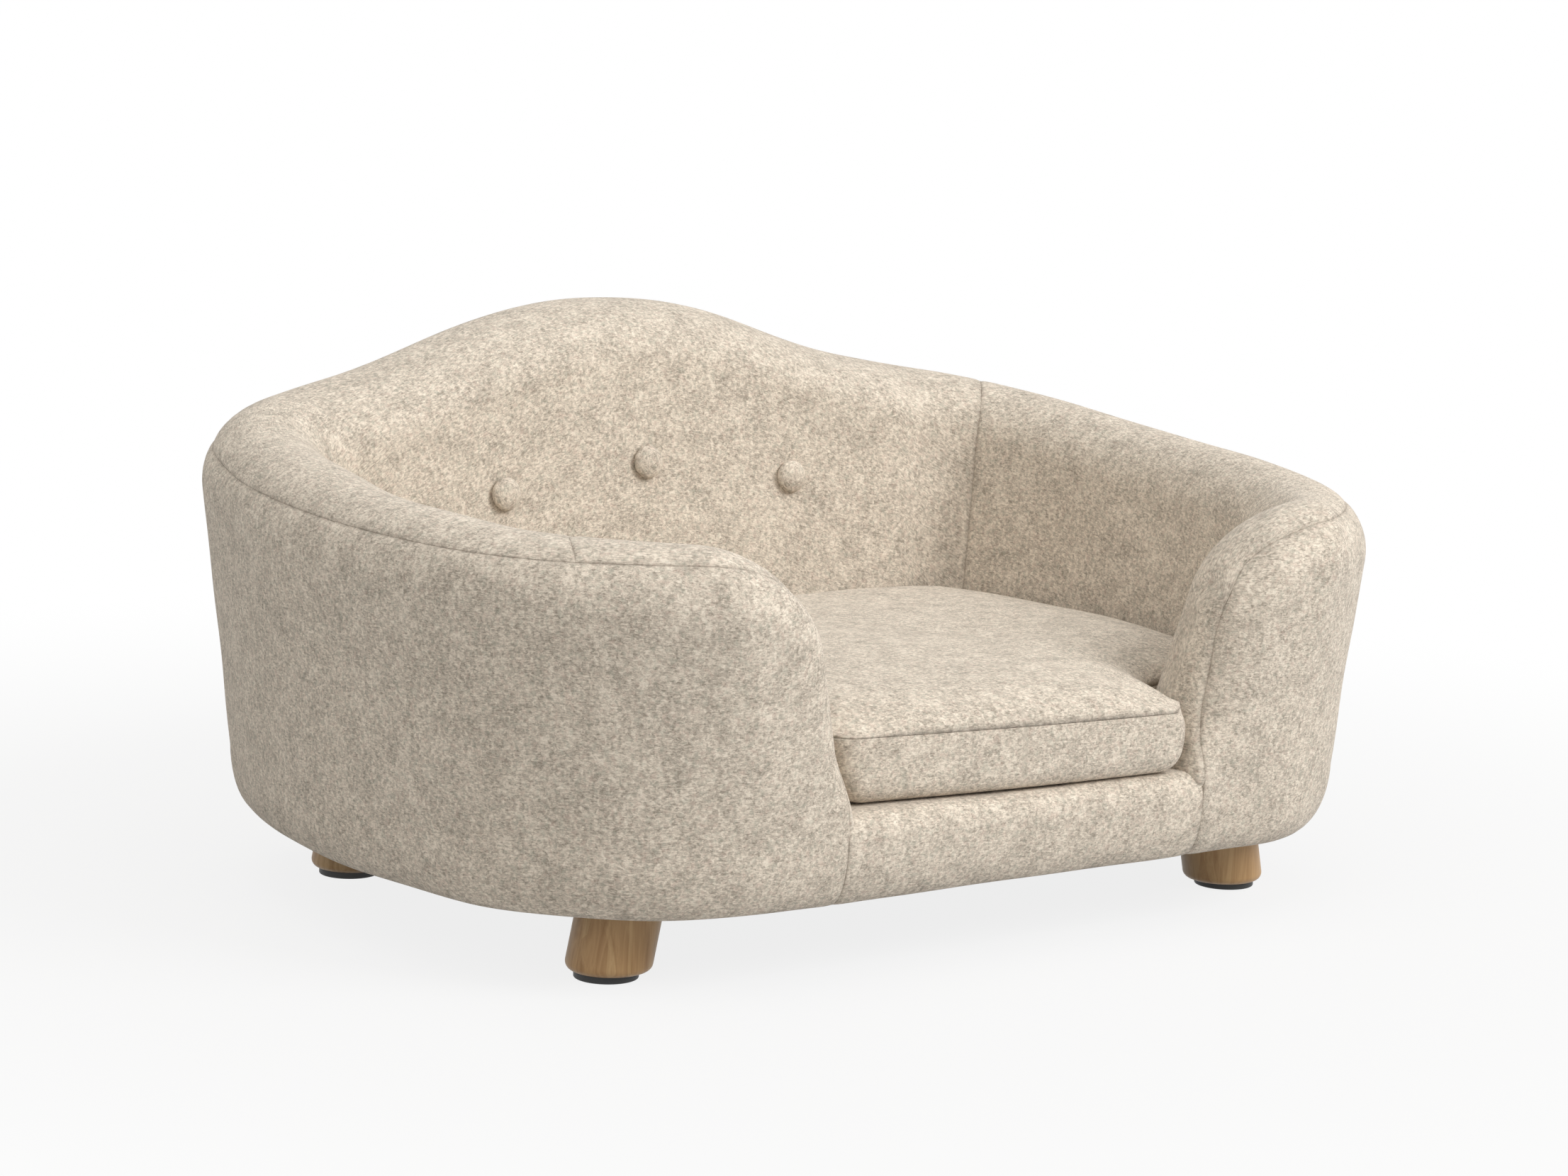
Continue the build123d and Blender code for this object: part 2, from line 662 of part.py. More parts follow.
outer_station, inner_station, middle_station = RIGHT[-3:]
side_station = between(outer_station, inner_station, SIDE_BUTTON_SHARE)
button_planes = [
    button_plane(mirrored(side_station), SIDE_BUTTON_HEIGHT),
    button_plane(middle_station, CENTRE_BUTTON_HEIGHT),
    button_plane(side_station, SIDE_BUTTON_HEIGHT),
]
buttons = [button(plane) for plane in button_planes]
ties = []
washers = []
depth = BACK_THICK - BOARD_OUT + LAY_GAP + BUTTON_LIFT
end = depth + BUTTON_WASHER_THICK
for plane in button_planes:
    ties.append(rod(plane, TIE_DIA / 2, -depth, 0.0))
    washers.append(rod(plane, BUTTON_WASHER_DIA / 2, -end, -depth))
    tie_hole = rod(plane, TIE_DIA / 2 + BORE_CLEARANCE, -depth - LAY_GAP, OVERRUN)
    back_cover -= tie_hole
    back_wall_panel -= tie_hole
    back_wall_foam -= tie_hole
    back_wall_foam -= rod(plane, BUTTON_WASHER_DIA / 2 + BORE_CLEARANCE, -end - LAY_GAP, -depth + OVERRUN)


# Legs, hanger bolts, tee nuts and glides
leg_places = {
    "front_left": (-1, LEG_FRONT_Y),
    "front_right": (1, LEG_FRONT_Y),
    "back_left": (-1, LEG_BACK_Y),
    "back_right": (1, LEG_BACK_Y),
}
leg_top_x = LEG_FOOT_X - LEG_SPLAY * BASE_LOW
bolt_low = BASE_LOW - BOLT_IN_LEG
bolt_high = BASE_TOP + TEE_FLANGE_THICK + BOLT_PROUD
screw_low = GLIDE_THICK - GLIDE_SCREW_HEAD - GLIDE_EDGE


def leg(side, y):
    """Splayed round leg, level at both ends, bored for its hanger bolt and its glide's screw."""
    axis = Plane((side * LEG_FOOT_X, y, 0), z_dir=(-side * LEG_SPLAY, 0, 1))
    body = rod(axis, LEG_DIA / 2, -LEG_DIA, BASE_LOW + LEG_DIA)
    room = LEG_DIA * 2
    x = side * leg_top_x
    body &= box_between((x - room, y - room, GLIDE_THICK), (x + room, y + room, BASE_LOW))
    body = fillet(body.edges().group_by(Axis.Z)[0], LEG_EDGE_R)
    body -= rod(Plane((x, y, 0)), BOLT_DIA / 2 + BORE_CLEARANCE, bolt_low - LAY_GAP, BASE_LOW + OVERRUN)
    screw_end = screw_low + GLIDE_SCREW_LENGTH + LAY_GAP
    return body - rod(Plane((side * LEG_FOOT_X, y, 0)), GLIDE_SCREW_DIA / 2 + BORE_CLEARANCE, 0, screw_end)


def glide(side, y):
    """Round glide with a sunk hole for its screw."""
    plane = Plane((side * LEG_FOOT_X, y, 0))
    disc = rod(plane, GLIDE_DIA / 2, 0, GLIDE_THICK)
    disc = fillet(disc.edges().group_by(Axis.Z)[0], GLIDE_EDGE)
    disc -= rod(plane, GLIDE_SCREW_DIA / 2 + BORE_CLEARANCE, -OVERRUN, GLIDE_THICK + OVERRUN)
    sunk_r = GLIDE_SCREW_HEAD_DIA / 2 + BORE_CLEARANCE
    return disc - rod(plane, sunk_r, -OVERRUN, screw_low + GLIDE_SCREW_HEAD)


bolts = []
tee_nuts = []
glide_screws = []
for name, (side, y) in leg_places.items():
    save(leg(side, y), f"leg_{name}")
    save(glide(side, y), f"glide_{name}")
    top = Plane((side * leg_top_x, y, 0))
    foot = Plane((side * LEG_FOOT_X, y, 0))
    bolts.append(rod(top, BOLT_DIA / 2, bolt_low, bolt_high))
    nut = rod(top, TEE_BARREL_DIA / 2, BASE_LOW + LAY_GAP, BASE_TOP)
    nut += rod(top, TEE_FLANGE_DIA / 2, BASE_TOP, BASE_TOP + TEE_FLANGE_THICK)
    tee_nuts.append(nut - rod(top, BOLT_DIA / 2 + BORE_CLEARANCE, BASE_LOW - OVERRUN, bolt_high))
    head = rod(foot, GLIDE_SCREW_HEAD_DIA / 2, screw_low, screw_low + GLIDE_SCREW_HEAD)
    glide_screws.append(head + rod(foot, GLIDE_SCREW_DIA / 2, screw_low, screw_low + GLIDE_SCREW_LENGTH))
    base_board -= rod(top, TEE_BARREL_DIA / 2 + BORE_CLEARANCE, BASE_LOW - OVERRUN, BASE_TOP + OVERRUN)
    dust_cover -= rod(top, LEG_DIA / 2 + OVERRUN, BODY_BOTTOM - OVERRUN, BASE_LOW)


# Loose cushion: an outline that fills the tub and reaches out between the arm ends
def cushion_outline(inset):
    """Lines and arcs of the cushion's plan, anticlockwise from the left end of its front."""
    gap = CUSHION_GAP + inset
    offset = outer_point(ARM_THICK, DECK_TOP)[0] - gap
    front_corner, side, _, _ = outline_arcs(offset)
    corner_x, corner_y, corner_r, _, _ = front_corner
    front_y = FRONT_Y - outer_point(0.0, DECK_TOP)[0] + CUSHION_FRONT_SETBACK + inset
    back_y = BACK_Y + outer_point(BACK_THICK, DECK_TOP)[0] - CUSHION_BACK_GAP - inset
    shoulder_y = corner_y - corner_r
    hollow_r = ARM_HALF + gap
    hollow_x = OPENING_HALF_WIDTH + ARM_END_LEAN * (DECK_TOP - BODY_BOTTOM) + ARM_HALF
    neck_x = hollow_x - hollow_r
    round_r = CUSHION_CORNER_R - inset

    def arc(x, y, radius, first, last):
        angles = (first, (first + last) / 2, last)
        return [(x + radius * cos(radians(a)), y + radius * sin(radians(a))) for a in angles]

    def beside(station):
        spot = station.at(outer_point(thickness(station), DECK_TOP)[0] - gap, DECK_TOP)
        return spot.X, spot.Y

    right = [
        arc(neck_x - round_r, front_y + round_r, round_r, -90, 0),
        [(neck_x, front_y + round_r), (neck_x, shoulder_y - hollow_r)],
        arc(hollow_x, shoulder_y - hollow_r, hollow_r, 180, 90),
        [(hollow_x, shoulder_y), (corner_x, shoulder_y)],
        arc(*front_corner),
        arc(*side),
    ]
    right.append([right[-1][-1], beside(RIGHT[CORNER_MIDDLE]), beside(RIGHT[CORNER_END])])
    right.append([right[-1][-1], (CUSHION_BACK_HALF, back_y)])
    left = [[(-x, y) for x, y in segment[::-1]] for segment in right[::-1]]
    front = [left[-1][-1], (0.0, front_y - CUSHION_BOW), right[0][0]]
    return [front] + right + [[right[-1][-1], left[0][0]]] + left


CUSHION_LOW = DECK_TOP + LAY_GAP
LOWER_SEAM = CUSHION_LOW + CUSHION_SEAM_IN
UPPER_SEAM = LOWER_SEAM + CUSHION_BAND
cushion_middle_y = (FRONT_Y + BACK_Y) / 2


def cushion_body(inset):
    """Crowned box cushion, or at an inset what lies inside its cover."""
    levels = [(share, CUSHION_LOW + CUSHION_SEAM_IN * rise + inset) for share, rise in SOLE_SHARES]
    levels += [(1.0, LOWER_SEAM), (CUSHION_WAIST_SHARE, (LOWER_SEAM + UPPER_SEAM) / 2), (1.0, UPPER_SEAM)]
    levels += [(share, UPPER_SEAM + (CUSHION_CROWN - inset) * rise) for share, rise in CROWN_SHARES]
    outline = cushion_outline(inset)
    wires = []
    for share, height in levels:
        def place(x, y):
            return Vector(x * share, cushion_middle_y + (y - cushion_middle_y) * share, height)
        wires.append(wire_of(place, outline))
    return Solid.make_loft(wires, True)


cushion_cover = cushion_body(0.0) - cushion_body(COVER_THICK)
cushion_core = cushion_body(COVER_THICK + LAY_GAP)
reach = SIDE_X + BACK_Y
below = box_between((-reach, -reach, BODY_BOTTOM), (reach, reach, LOWER_SEAM))
between = box_between((-reach, -reach, LOWER_SEAM), (reach, reach, UPPER_SEAM))
above = box_between((-reach, -reach, UPPER_SEAM), (reach, reach, BACK_TOP))
cushion_bottom_panel = cushion_cover & below
cushion_band = cushion_cover & between
cushion_top_panel = cushion_cover & above

# Zip across the back of the cushion band
zip_height = (LOWER_SEAM + UPPER_SEAM) / 2
tape_y = BACK_Y + outer_point(BACK_THICK, DECK_TOP)[0] - CUSHION_BACK_GAP + LAY_GAP
teeth_y = tape_y + ZIP_TAPE_THICK
slider_y = teeth_y + ZIP_TEETH_THICK + SOFT_GAP
slider_x = ZIP_HALF_LENGTH - SLIDER_START_INSET
zip_tape = box_between((-ZIP_HALF_LENGTH, tape_y, zip_height - ZIP_TAPE_WIDTH / 2),
                       (ZIP_HALF_LENGTH, teeth_y, zip_height + ZIP_TAPE_WIDTH / 2))
zip_teeth = box_between((-ZIP_HALF_LENGTH, teeth_y, zip_height - ZIP_TEETH_WIDTH / 2),
                        (ZIP_HALF_LENGTH, teeth_y + ZIP_TEETH_THICK, zip_height + ZIP_TEETH_WIDTH / 2))
pull_y = slider_y + SLIDER_THICK
slider_body = box_between((slider_x - SLIDER_LENGTH / 2, slider_y, zip_height - SLIDER_WIDTH / 2),
                          (slider_x + SLIDER_LENGTH / 2, pull_y, zip_height + SLIDER_WIDTH / 2))
slider_body = fillet(slider_body.edges().filter_by(Axis.Y), SLIDER_CORNER_R)
zip_pull = box_between((slider_x - PULL_LENGTH, pull_y, zip_height - PULL_WIDTH / 2),
                       (slider_x, pull_y + PULL_THICK, zip_height + PULL_WIDTH / 2))
zip_slider = slider_body + fillet(zip_pull.edges().filter_by(Axis.Y), PULL_CORNER_R)

pieces = {
    "base_board": base_board,
    "deck_board": deck_board,
    "front_rail": front_rail,
    "rear_rail": rear_rail,
    "left_rail": left_rail,
    "right_rail": right_rail,
    "centre_rail": centre_rail,
    "left_wall_panel": left_wall_panel,
    "back_wall_panel": back_wall_panel,
    "right_wall_panel": right_wall_panel,
    "front_panel": front_panel,
    "wall_screws": wall_screws,
    "left_wall_foam": left_wall_foam,
    "back_wall_foam": back_wall_foam,
    "right_wall_foam": right_wall_foam,
    "left_arm_end_foam": left_arm_end_foam,
    "right_arm_end_foam": right_arm_end_foam,
    "front_rail_foam": front_rail_foam,
    "deck_foam": deck_foam,
    "outer_cover": outer_cover,
    "left_arm_cover": left_arm_cover,
    "back_cover": back_cover,
    "right_arm_cover": right_arm_cover,
    "front_rail_cover": front_rail_cover,
    "deck_cloth": deck_cloth,
    "dust_cover": dust_cover,
    "button_left": buttons[0],
    "button_centre": buttons[1],
    "button_right": buttons[2],
    "button_ties": group(ties),
    "button_washers": group(washers),
    "leg_bolts": group(bolts),
    "tee_nuts": group(tee_nuts),
    "glide_screws": group(glide_screws),
    "cushion_core": cushion_core,
    "cushion_top_panel": cushion_top_panel,
    "cushion_band": cushion_band,
    "cushion_bottom_panel": cushion_bottom_panel,
    "zip_tape": zip_tape,
    "zip_teeth": zip_teeth,
    "zip_slider": zip_slider,
}
for name, shape in pieces.items():
    save(shape, name)
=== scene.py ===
"""Sofa-shaped pet bed with a felt-covered tub and front rail, covered buttons and splayed wooden legs.

A loose box cushion lies in it. Lengths in the shape functions are millimetres; a mesh is turned to metres
when it is made. The tub is one surface: a path coordinate runs from the left arm's tip, round the back, to
the right arm's tip, and a section coordinate runs from the flap under the body, up the outer face, over the
rounded top and down the inner face. Every panel of cloth and every foam is a patch of that surface.
"""

import bmesh
import bpy
import numpy as np
from mathutils import Matrix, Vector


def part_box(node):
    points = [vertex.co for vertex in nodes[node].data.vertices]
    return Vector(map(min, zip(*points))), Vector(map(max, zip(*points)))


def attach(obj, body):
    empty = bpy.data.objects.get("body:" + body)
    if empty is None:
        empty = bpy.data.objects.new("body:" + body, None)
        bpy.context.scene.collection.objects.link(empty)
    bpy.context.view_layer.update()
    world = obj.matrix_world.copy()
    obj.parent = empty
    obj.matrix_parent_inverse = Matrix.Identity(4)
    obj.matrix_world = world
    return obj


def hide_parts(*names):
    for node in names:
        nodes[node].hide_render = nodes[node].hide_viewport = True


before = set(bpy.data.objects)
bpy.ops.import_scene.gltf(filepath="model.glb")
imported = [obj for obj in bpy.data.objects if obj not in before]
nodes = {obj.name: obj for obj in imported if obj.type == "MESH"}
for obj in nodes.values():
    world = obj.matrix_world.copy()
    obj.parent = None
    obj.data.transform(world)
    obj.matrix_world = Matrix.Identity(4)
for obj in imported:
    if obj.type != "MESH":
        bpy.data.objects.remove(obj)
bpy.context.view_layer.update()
MM = 0.001

# Plan outline at the underside: a straight front, then tangent arcs round the side to the back
FRONT_Y = -228.5
SIDE_X = 312.2
SIDE_Y = -11.5
BACK_Y = 220.3
FRONT_CORNER_R = 142.4
SIDE_R = 458.0
BACK_CORNER_R = 112.7
BACK_R = 1625.0

# Heights of the underside, the flap of cloth on it, the deck's board, the deck, and the tops of the wall
BODY_BOTTOM = 41.0
UNDER = 41.9
BOARD_TOP = 80.8
DECK_TOP = 92.4
ARM_TOP = 239.8
SHOULDER_TOP = 279.8
BACK_TOP = 325.0
HUMP_HALF_WIDTH = 247.0
RISE_POWER = 1.96

# Section of the wall: half its thickness at an arm and at the back, and how far it leans out per millimetre
ARM_HALF = 35.4
BACK_HALF = 46.0
LEAN = 0.111
LEAN_COS = np.cos(np.arctan(LEAN))
LEAN_SIN = np.sin(np.arctan(LEAN))
LEAN_DEGREES = np.degrees(np.arctan(LEAN))

# Rounded lower edge, the flap that is turned under it, and the front rail's rounded upper edge
EDGE_INSET = 11.0
EDGE_RISE = 36.0
EDGE_TOP = UNDER + EDGE_RISE
EDGE_OUT = LEAN * (EDGE_TOP - BODY_BOTTOM)
FLAP = 26.0
DECK_OUT = LEAN * (DECK_TOP - BODY_BOTTOM)
RAIL_ROUND = 14.0
RAIL_TOP_OUT = DECK_OUT - RAIL_ROUND

# Arm ends beside the opening: they lean apart, and their tops drop towards their tips
OPENING_HALF_WIDTH = 99.6
ARM_END_LEAN = 0.273
ARM_END_RUN = 66.0
ARM_END_DROP = 62.4
# heights between which an arm's round end swings out to the body below it
BLEND_LOW = 80.0
BLEND_HIGH = 128.0

# Where the boards stand inside the wall, as distances in from its outer face, and the foam round them
BOARD_OUT = 11.7
BOARD_IN = 17.7
BOARD_DROP = 34.0
FOAM_INSET = 5.0
FOAM_FOOT = 8.0
FOAM_PLAY = 1.0
FOAM_STEP = 9.0
ARM_FOAM_START = 28.0
RAIL_FOAM_HALF = 98.0
RAIL_FOAM_BACK = -65.0
DECK_COVER_PLAY = 0.4
DUST_COVER_INSET = 22.0

# Seams, as distances along the path from an arm's tip and angles round the rounded top
NOSE_GAP = 2.9
NOSE_CORNER = 12.0
RAIL_SEAM_X = 125.3
RAIL_SEAM_TOP = 108.0
RAIL_SEAM_SLOPE = 0.2
BACK_SEAM_ANGLE = 30.0
ARM_SEAM_ANGLE = 51.0
NOSE_SEAM_RISE = 8.0
NOSE_SEAM_PEAK = 14.0
NOSE_SEAM_SPREAD = 20.0
SEAM_EASE_START = 90.0
SEAM_EASE_RUN = 365.0
SEAM_EASE_POWER = 1.4
LEFT_CROSS_SEAM = (176.0, 192.0)
RIGHT_CROSS_SEAM = (540.0, 517.5)
# angle at which a cross seam starts to slant, and over which it does
LEFT_CROSS_TURN = (45.0, 50.0)
RIGHT_CROSS_TURN = (60.0, 105.0)
# distances between the points that seams are measured to
TOP_SEAM_STEP = 1.2
UPRIGHT_SEAM_STEP = 0.9
CROSS_SEAM_START = 3.25
CROSS_SEAM_POINTS = 260

# Outer panel near an arm's nose: how far away its columns start to shift, and how steeply
SHIFT_REACH = 75.0
SHIFT_POWER = 1.5
# rounds of working out paths and rows that depend on each other
SHIFT_PASSES = 5
PATH_PASSES = 3

# An arm's cap swings out to the outer panel, and goes down behind the front rail's cover
SWING_START = 0.35
TUCK_DEPTH = 3.0
TUCK_TOP = 88.0
TUCK_RUN = 7.0

# Front rail's cover: how much wider it is where it lies flat under the arms, and how far back it stops
RAIL_WIDENING = 24.0
RAIL_WIDENING_START = 4.0
RAIL_WIDENING_RUN = 20.0
RAIL_COVER_STOP = 6.0

# Cloth: how far a seam pulls it in, how far that reaches, and its thickness
PINCH_DEPTH = 1.1
PINCH_REACH = 2.4
TURN_IN = 3.5
CLOTH = 1.2
# how far the painted shade along a seam reaches
SEAM_LINE = 0.8
# a distance that no seam reaches over
NO_SEAM = 99.0
# slow unevenness of the stuffed cloth, which is calmer beside seams
TUB_PUFF = 0.6
CUSHION_PUFF = 1.1
CALM_REACH = 12.0
CUSHION_CALM_REACH = 25.0
WAVE_COUNT = 14
WAVE_LENGTHS = (14, 34)

# Covered buttons: the dome above and below its rim, its gathers, and the dimple round it
BUTTON_R = 10.0
BUTTON_FRONT = 5.0
BUTTON_BACK = 4.2
BUTTON_SINK = 1.5
BUTTON_POWER = 0.9
GATHERS = 11
GATHER_DEPTH = 0.012
BUTTON_DIMPLE = 1.6
BUTTON_DIMPLE_REACH = 15.0

# Points of the grids: this far apart along the tub, with these distances from a seam to the rows beside it
PATH_STEP = 5.5
SEAM_ROWS = np.array([0.0, 0.7, 1.5, 2.6, 4.0, 6.0, 9.0])
# cloth from the outer face up to the top seam and from there over the roll, and the rows' distances on them
OUTER_ROLL = 45.0
OUTER_ROLL_STEP = 4.5
INNER_ROLL = 95.0
INNER_ROLL_STEP = 5.0
# points nearer than this are one
MERGE = 0.002


def smooth(share):
    """Eased step from 0 to 1: three times the square less twice the cube of the clipped share."""
    share = np.clip(share, 0.0, 1.0)
    return share * share * (3.0 - 2.0 * share)


def outline_arcs():
    """Centre, radius, first and last angle of the right side's four tangent arcs, front to back."""
    front_y = FRONT_Y + FRONT_CORNER_R
    side_x = SIDE_X - SIDE_R
    front_x = side_x + np.sqrt((SIDE_R - FRONT_CORNER_R) ** 2 - (front_y - SIDE_Y) ** 2)
    back_y = BACK_Y - BACK_R
    reach_side = SIDE_R - BACK_CORNER_R
    reach_back = BACK_R - BACK_CORNER_R
    span = np.hypot(side_x, back_y - SIDE_Y)
    along = (reach_side ** 2 - reach_back ** 2 + span ** 2) / (2 * span)
    across = np.sqrt(reach_side ** 2 - along ** 2)
    ux = -side_x / span
    uy = (back_y - SIDE_Y) / span
    corner_x = side_x + along * ux - across * uy
    corner_y = SIDE_Y + along * uy + across * ux
    first = np.arctan2(front_y - SIDE_Y, front_x - side_x)
    second = np.arctan2(corner_y - SIDE_Y, corner_x - side_x)
    third = np.arctan2(corner_y - back_y, corner_x)
    return (
        (front_x, front_y, FRONT_CORNER_R, -np.pi / 2, first),
        (side_x, SIDE_Y, SIDE_R, first, second),
        (corner_x, corner_y, BACK_CORNER_R, second, third),
        (0.0, back_y, BACK_R, third, np.pi / 2),
    )


ARCS = outline_arcs()
ARC_LENGTHS = [radius * (last - first) for _, _, radius, first, last in ARCS]
STRAIGHT = ARCS[0][0] - OPENING_HALF_WIDTH
FAN_LENGTH = ARC_LENGTHS[0] * 2 / 3
# the path bends round an arm's tip by a quarter of the wall's roundness before it follows the outline
TIP = ARM_HALF * np.pi / 2
HALF_PATH = STRAIGHT + sum(ARC_LENGTHS) - ARM_HALF + TIP
BACK_CORNER_START = STRAIGHT + ARC_LENGTHS[0] + ARC_LENGTHS[1]


def station(gap):
    """Point, outward normal and sideways lean on the right outline at a distance from the arm's tip.

    The distance is spent on the straight front first and then on each arc in turn.
    """
    x = OPENING_HALF_WIDTH + gap
    y = np.full_like(gap, FRONT_Y)
    nx = np.zeros_like(gap)
    ny = -np.ones_like(gap)
    start = STRAIGHT
    for (cx, cy, radius, first, last), length in zip(ARCS, ARC_LENGTHS):
        on = gap >= start
        angle = np.minimum(first + (gap - start) / radius, last)
        nx = np.where(on, np.cos(angle), nx)
        ny = np.where(on, np.sin(angle), ny)
        x = np.where(on, cx + radius * np.cos(angle), x)
        y = np.where(on, cy + radius * np.sin(angle), y)
        start += length
    fan = ARM_END_LEAN * np.clip(1.0 - np.maximum(gap - STRAIGHT, 0.0) / FAN_LENGTH, 0.0, 1.0)
    return x, y, nx, ny, fan


def tip_distance(path):
    """Distance along the path from the nearer arm's tip."""
    return np.maximum(HALF_PATH - np.abs(path), 0.0)


def gap_of(reach):
    """Distance from the tip along the outline: round the tip it grows as one less the cosine."""
    round_end = ARM_HALF * (1 - np.cos(np.clip(reach, 0, TIP) / ARM_HALF))
    return np.where(reach < TIP, round_end, reach - TIP + ARM_HALF)


def reach_of(gap):
    """Inverse of gap_of."""
    round_end = ARM_HALF * np.arccos(np.clip(1 - gap / ARM_HALF, -1, 1))
    return np.where(gap < ARM_HALF, round_end, gap - ARM_HALF + TIP)


def thickening(gap):
    """How much thicker the wall is than an arm, which eases up round the back corners."""
    return 2 * (BACK_HALF - ARM_HALF) * smooth((gap - BACK_CORNER_START) / ARC_LENGTHS[2])


def place(path, out, height):
    """Point at a distance outwards and a height, in the leaning plane of the section at that path."""
    x, y, nx, ny, fan = station(gap_of(tip_distance(path)))
    slide = fan * (height - BODY_BOTTOM)
    side = np.where(path < 0, -1.0, 1.0)
    return np.stack([side * (x + nx * out - ny * slide), y + ny * out + nx * slide, height + 0 * x], -1)


def rounded_top(path):
    """Centre (outwards, height) and radius of the quarter circle on the outer side of the wall's rounded top.

    The height rises as a power of the way back, adds a squared cosine hump at the middle of the back, and
    drops along an ellipse towards an arm's tip. The radius follows a sine round the tip.
    """
    reach = tip_distance(path)
    gap = gap_of(reach)
    x, y, _, _, _ = station(gap)
    radius = ARM_HALF * np.sin(np.clip(reach, 0, TIP) / ARM_HALF)
    share = np.clip((y - FRONT_Y) / (BACK_Y - FRONT_Y), 0, 1)
    top = ARM_TOP + (SHOULDER_TOP - ARM_TOP) * share ** RISE_POWER
    hump = np.cos(np.pi / 2 * np.clip(x / HUMP_HALF_WIDTH, -1, 1)) ** 2
    top = top + np.where(y > SIDE_Y, (BACK_TOP - SHOULDER_TOP) * hump, 0.0)
    tip = np.clip((ARM_END_RUN - gap) / ARM_END_RUN, 0, 1)
    top = top - ARM_END_DROP * (1 - np.sqrt(1 - tip ** 2))
    height = top - radius
    return LEAN * (height - BODY_BOTTOM) - ARM_HALF / LEAN_COS, height, radius


def face_out(path, height, side):
    """Distance outwards of the leaning outer (1) or inner (-1) face at a height."""
    out, centre, radius = rounded_top(path)
    foot = centre - side * radius * LEAN_SIN
    extra = thickening(gap_of(tip_distance(path))) if side < 0 else 0.0
    return out + side * radius * LEAN_COS + (height - foot) * LEAN - extra


def outer_out(path, height):
    """Outer face: near an arm's tip it swings smoothly from the arm's round end out to the body below."""
    low = LEAN * (height - BODY_BOTTOM)
    share = smooth((height - BLEND_LOW) / (BLEND_HIGH - BLEND_LOW))
    return low + (face_out(path, height, 1) - low) * share


def edge_out(bend):
    """Distance outwards on the elliptic lower edge, at an angle up from its foot."""
    return -EDGE_INSET + (EDGE_OUT + EDGE_INSET) * np.sin(bend)


def edge_height(bend):
    """Height on the elliptic lower edge, at an angle up from its foot."""
    return UNDER + EDGE_RISE * (1 - np.cos(bend))


def tub(path, row):
    """Point of the tub's skin at a path and a row.

    Rows 0 to 1 cross the flap under the body, 1 to 2 an elliptic lower edge, 2 to 3 the outer face, 3 to 4
    the rounded top, a quarter circle outside and a quarter ellipse inside, and 4 to 5 the inner face down to
    the deck.
    """
    path, row = np.broadcast_arrays(np.asarray(path, float), np.asarray(row, float))
    out, centre, radius = rounded_top(path)
    bend = np.pi / 2 * np.clip(row - 1, 0, 1)
    thicker = thickening(gap_of(tip_distance(path)))
    outer_top = centre - radius * LEAN_SIN
    face_z = EDGE_TOP + (outer_top - EDGE_TOP) * np.clip(row - 2, 0, 1)
    angle = np.radians(180 * np.clip(row - 3, 0, 1) - LEAN_DEGREES)
    inner_top = centre + radius * LEAN_SIN
    inner_z = inner_top + (BOARD_TOP - inner_top) * np.clip(row - 4, 0, 1)
    regions = [row < 1, row < 2, row < 3, row < 4]
    across = np.select(regions, [
        -EDGE_INSET - FLAP * (1 - row),
        edge_out(bend),
        outer_out(path, face_z),
        out + (radius + np.where(angle > np.pi / 2, thicker, 0.0)) * np.cos(angle),
    ], face_out(path, inner_z, -1))
    height = np.select(regions, [
        np.full_like(row, UNDER),
        edge_height(bend),
        face_z,
        centre + radius * np.sin(angle),
    ], inner_z)
    return place(path, across, height)


def tub_normal(path, row):
    """Outward unit normal, from differences along the path and up the section.

    Where these vanish, at an arm's tip, it points to the opening.
    """
    path, row = np.broadcast_arrays(np.asarray(path, float), np.asarray(row, float))
    step = 0.4
    rise = 0.004
    limit = HALF_PATH - 0.01
    along = tub(np.minimum(path + step, limit), row) - tub(np.maximum(path - step, -limit), row)
    up = tub(path, np.minimum(row + rise, 5)) - tub(path, np.maximum(row - rise, 0))
    normal = np.cross(up, along)
    length = np.linalg.norm(normal, axis=-1, keepdims=True)
    tip = np.stack([-np.sign(path), 0 * path, 0 * path], -1)
    return np.where(length > 1e-5, normal / np.maximum(length, 1e-9), tip)


def seam_angle(gap):
    """Angle of the top seam: it eases up from the back to the arms, with a slight rise before an arm's nose.

    Round the nose it swings down along a quarter of an ellipse.
    """
    ease = np.clip((gap - SEAM_EASE_START) / SEAM_EASE_RUN, 0, 1) ** SEAM_EASE_POWER
    angle = ARM_SEAM_ANGLE - (ARM_SEAM_ANGLE - BACK_SEAM_ANGLE) * ease
    angle = angle + NOSE_SEAM_RISE * np.exp(-((gap - NOSE_SEAM_PEAK) / NOSE_SEAM_SPREAD) ** 2)
    turn = np.clip((NOSE_CORNER - gap) / (NOSE_CORNER - NOSE_GAP), 0, 1)
    return (angle + LEAN_DEGREES) * np.sqrt(1 - turn ** 2) - LEAN_DEGREES


def seam_row(path):
    """Row of the top seam."""
    return 3 + (seam_angle(gap_of(tip_distance(path))) + LEAN_DEGREES) / 180


def nose_reach(height):
    """Distance round an arm's tip of its upright seam at a height."""
    x = RAIL_SEAM_X + RAIL_SEAM_SLOPE * np.maximum(height - RAIL_SEAM_TOP, 0)
    return reach_of(np.maximum(x - OPENING_HALF_WIDTH - ARM_END_LEAN * (height - BODY_BOTTOM), NOSE_GAP))


def angle_of(row):
    """Angle round the rounded top at a row."""
    return 180 * np.clip(row - 3, 0, 1) - LEAN_DEGREES


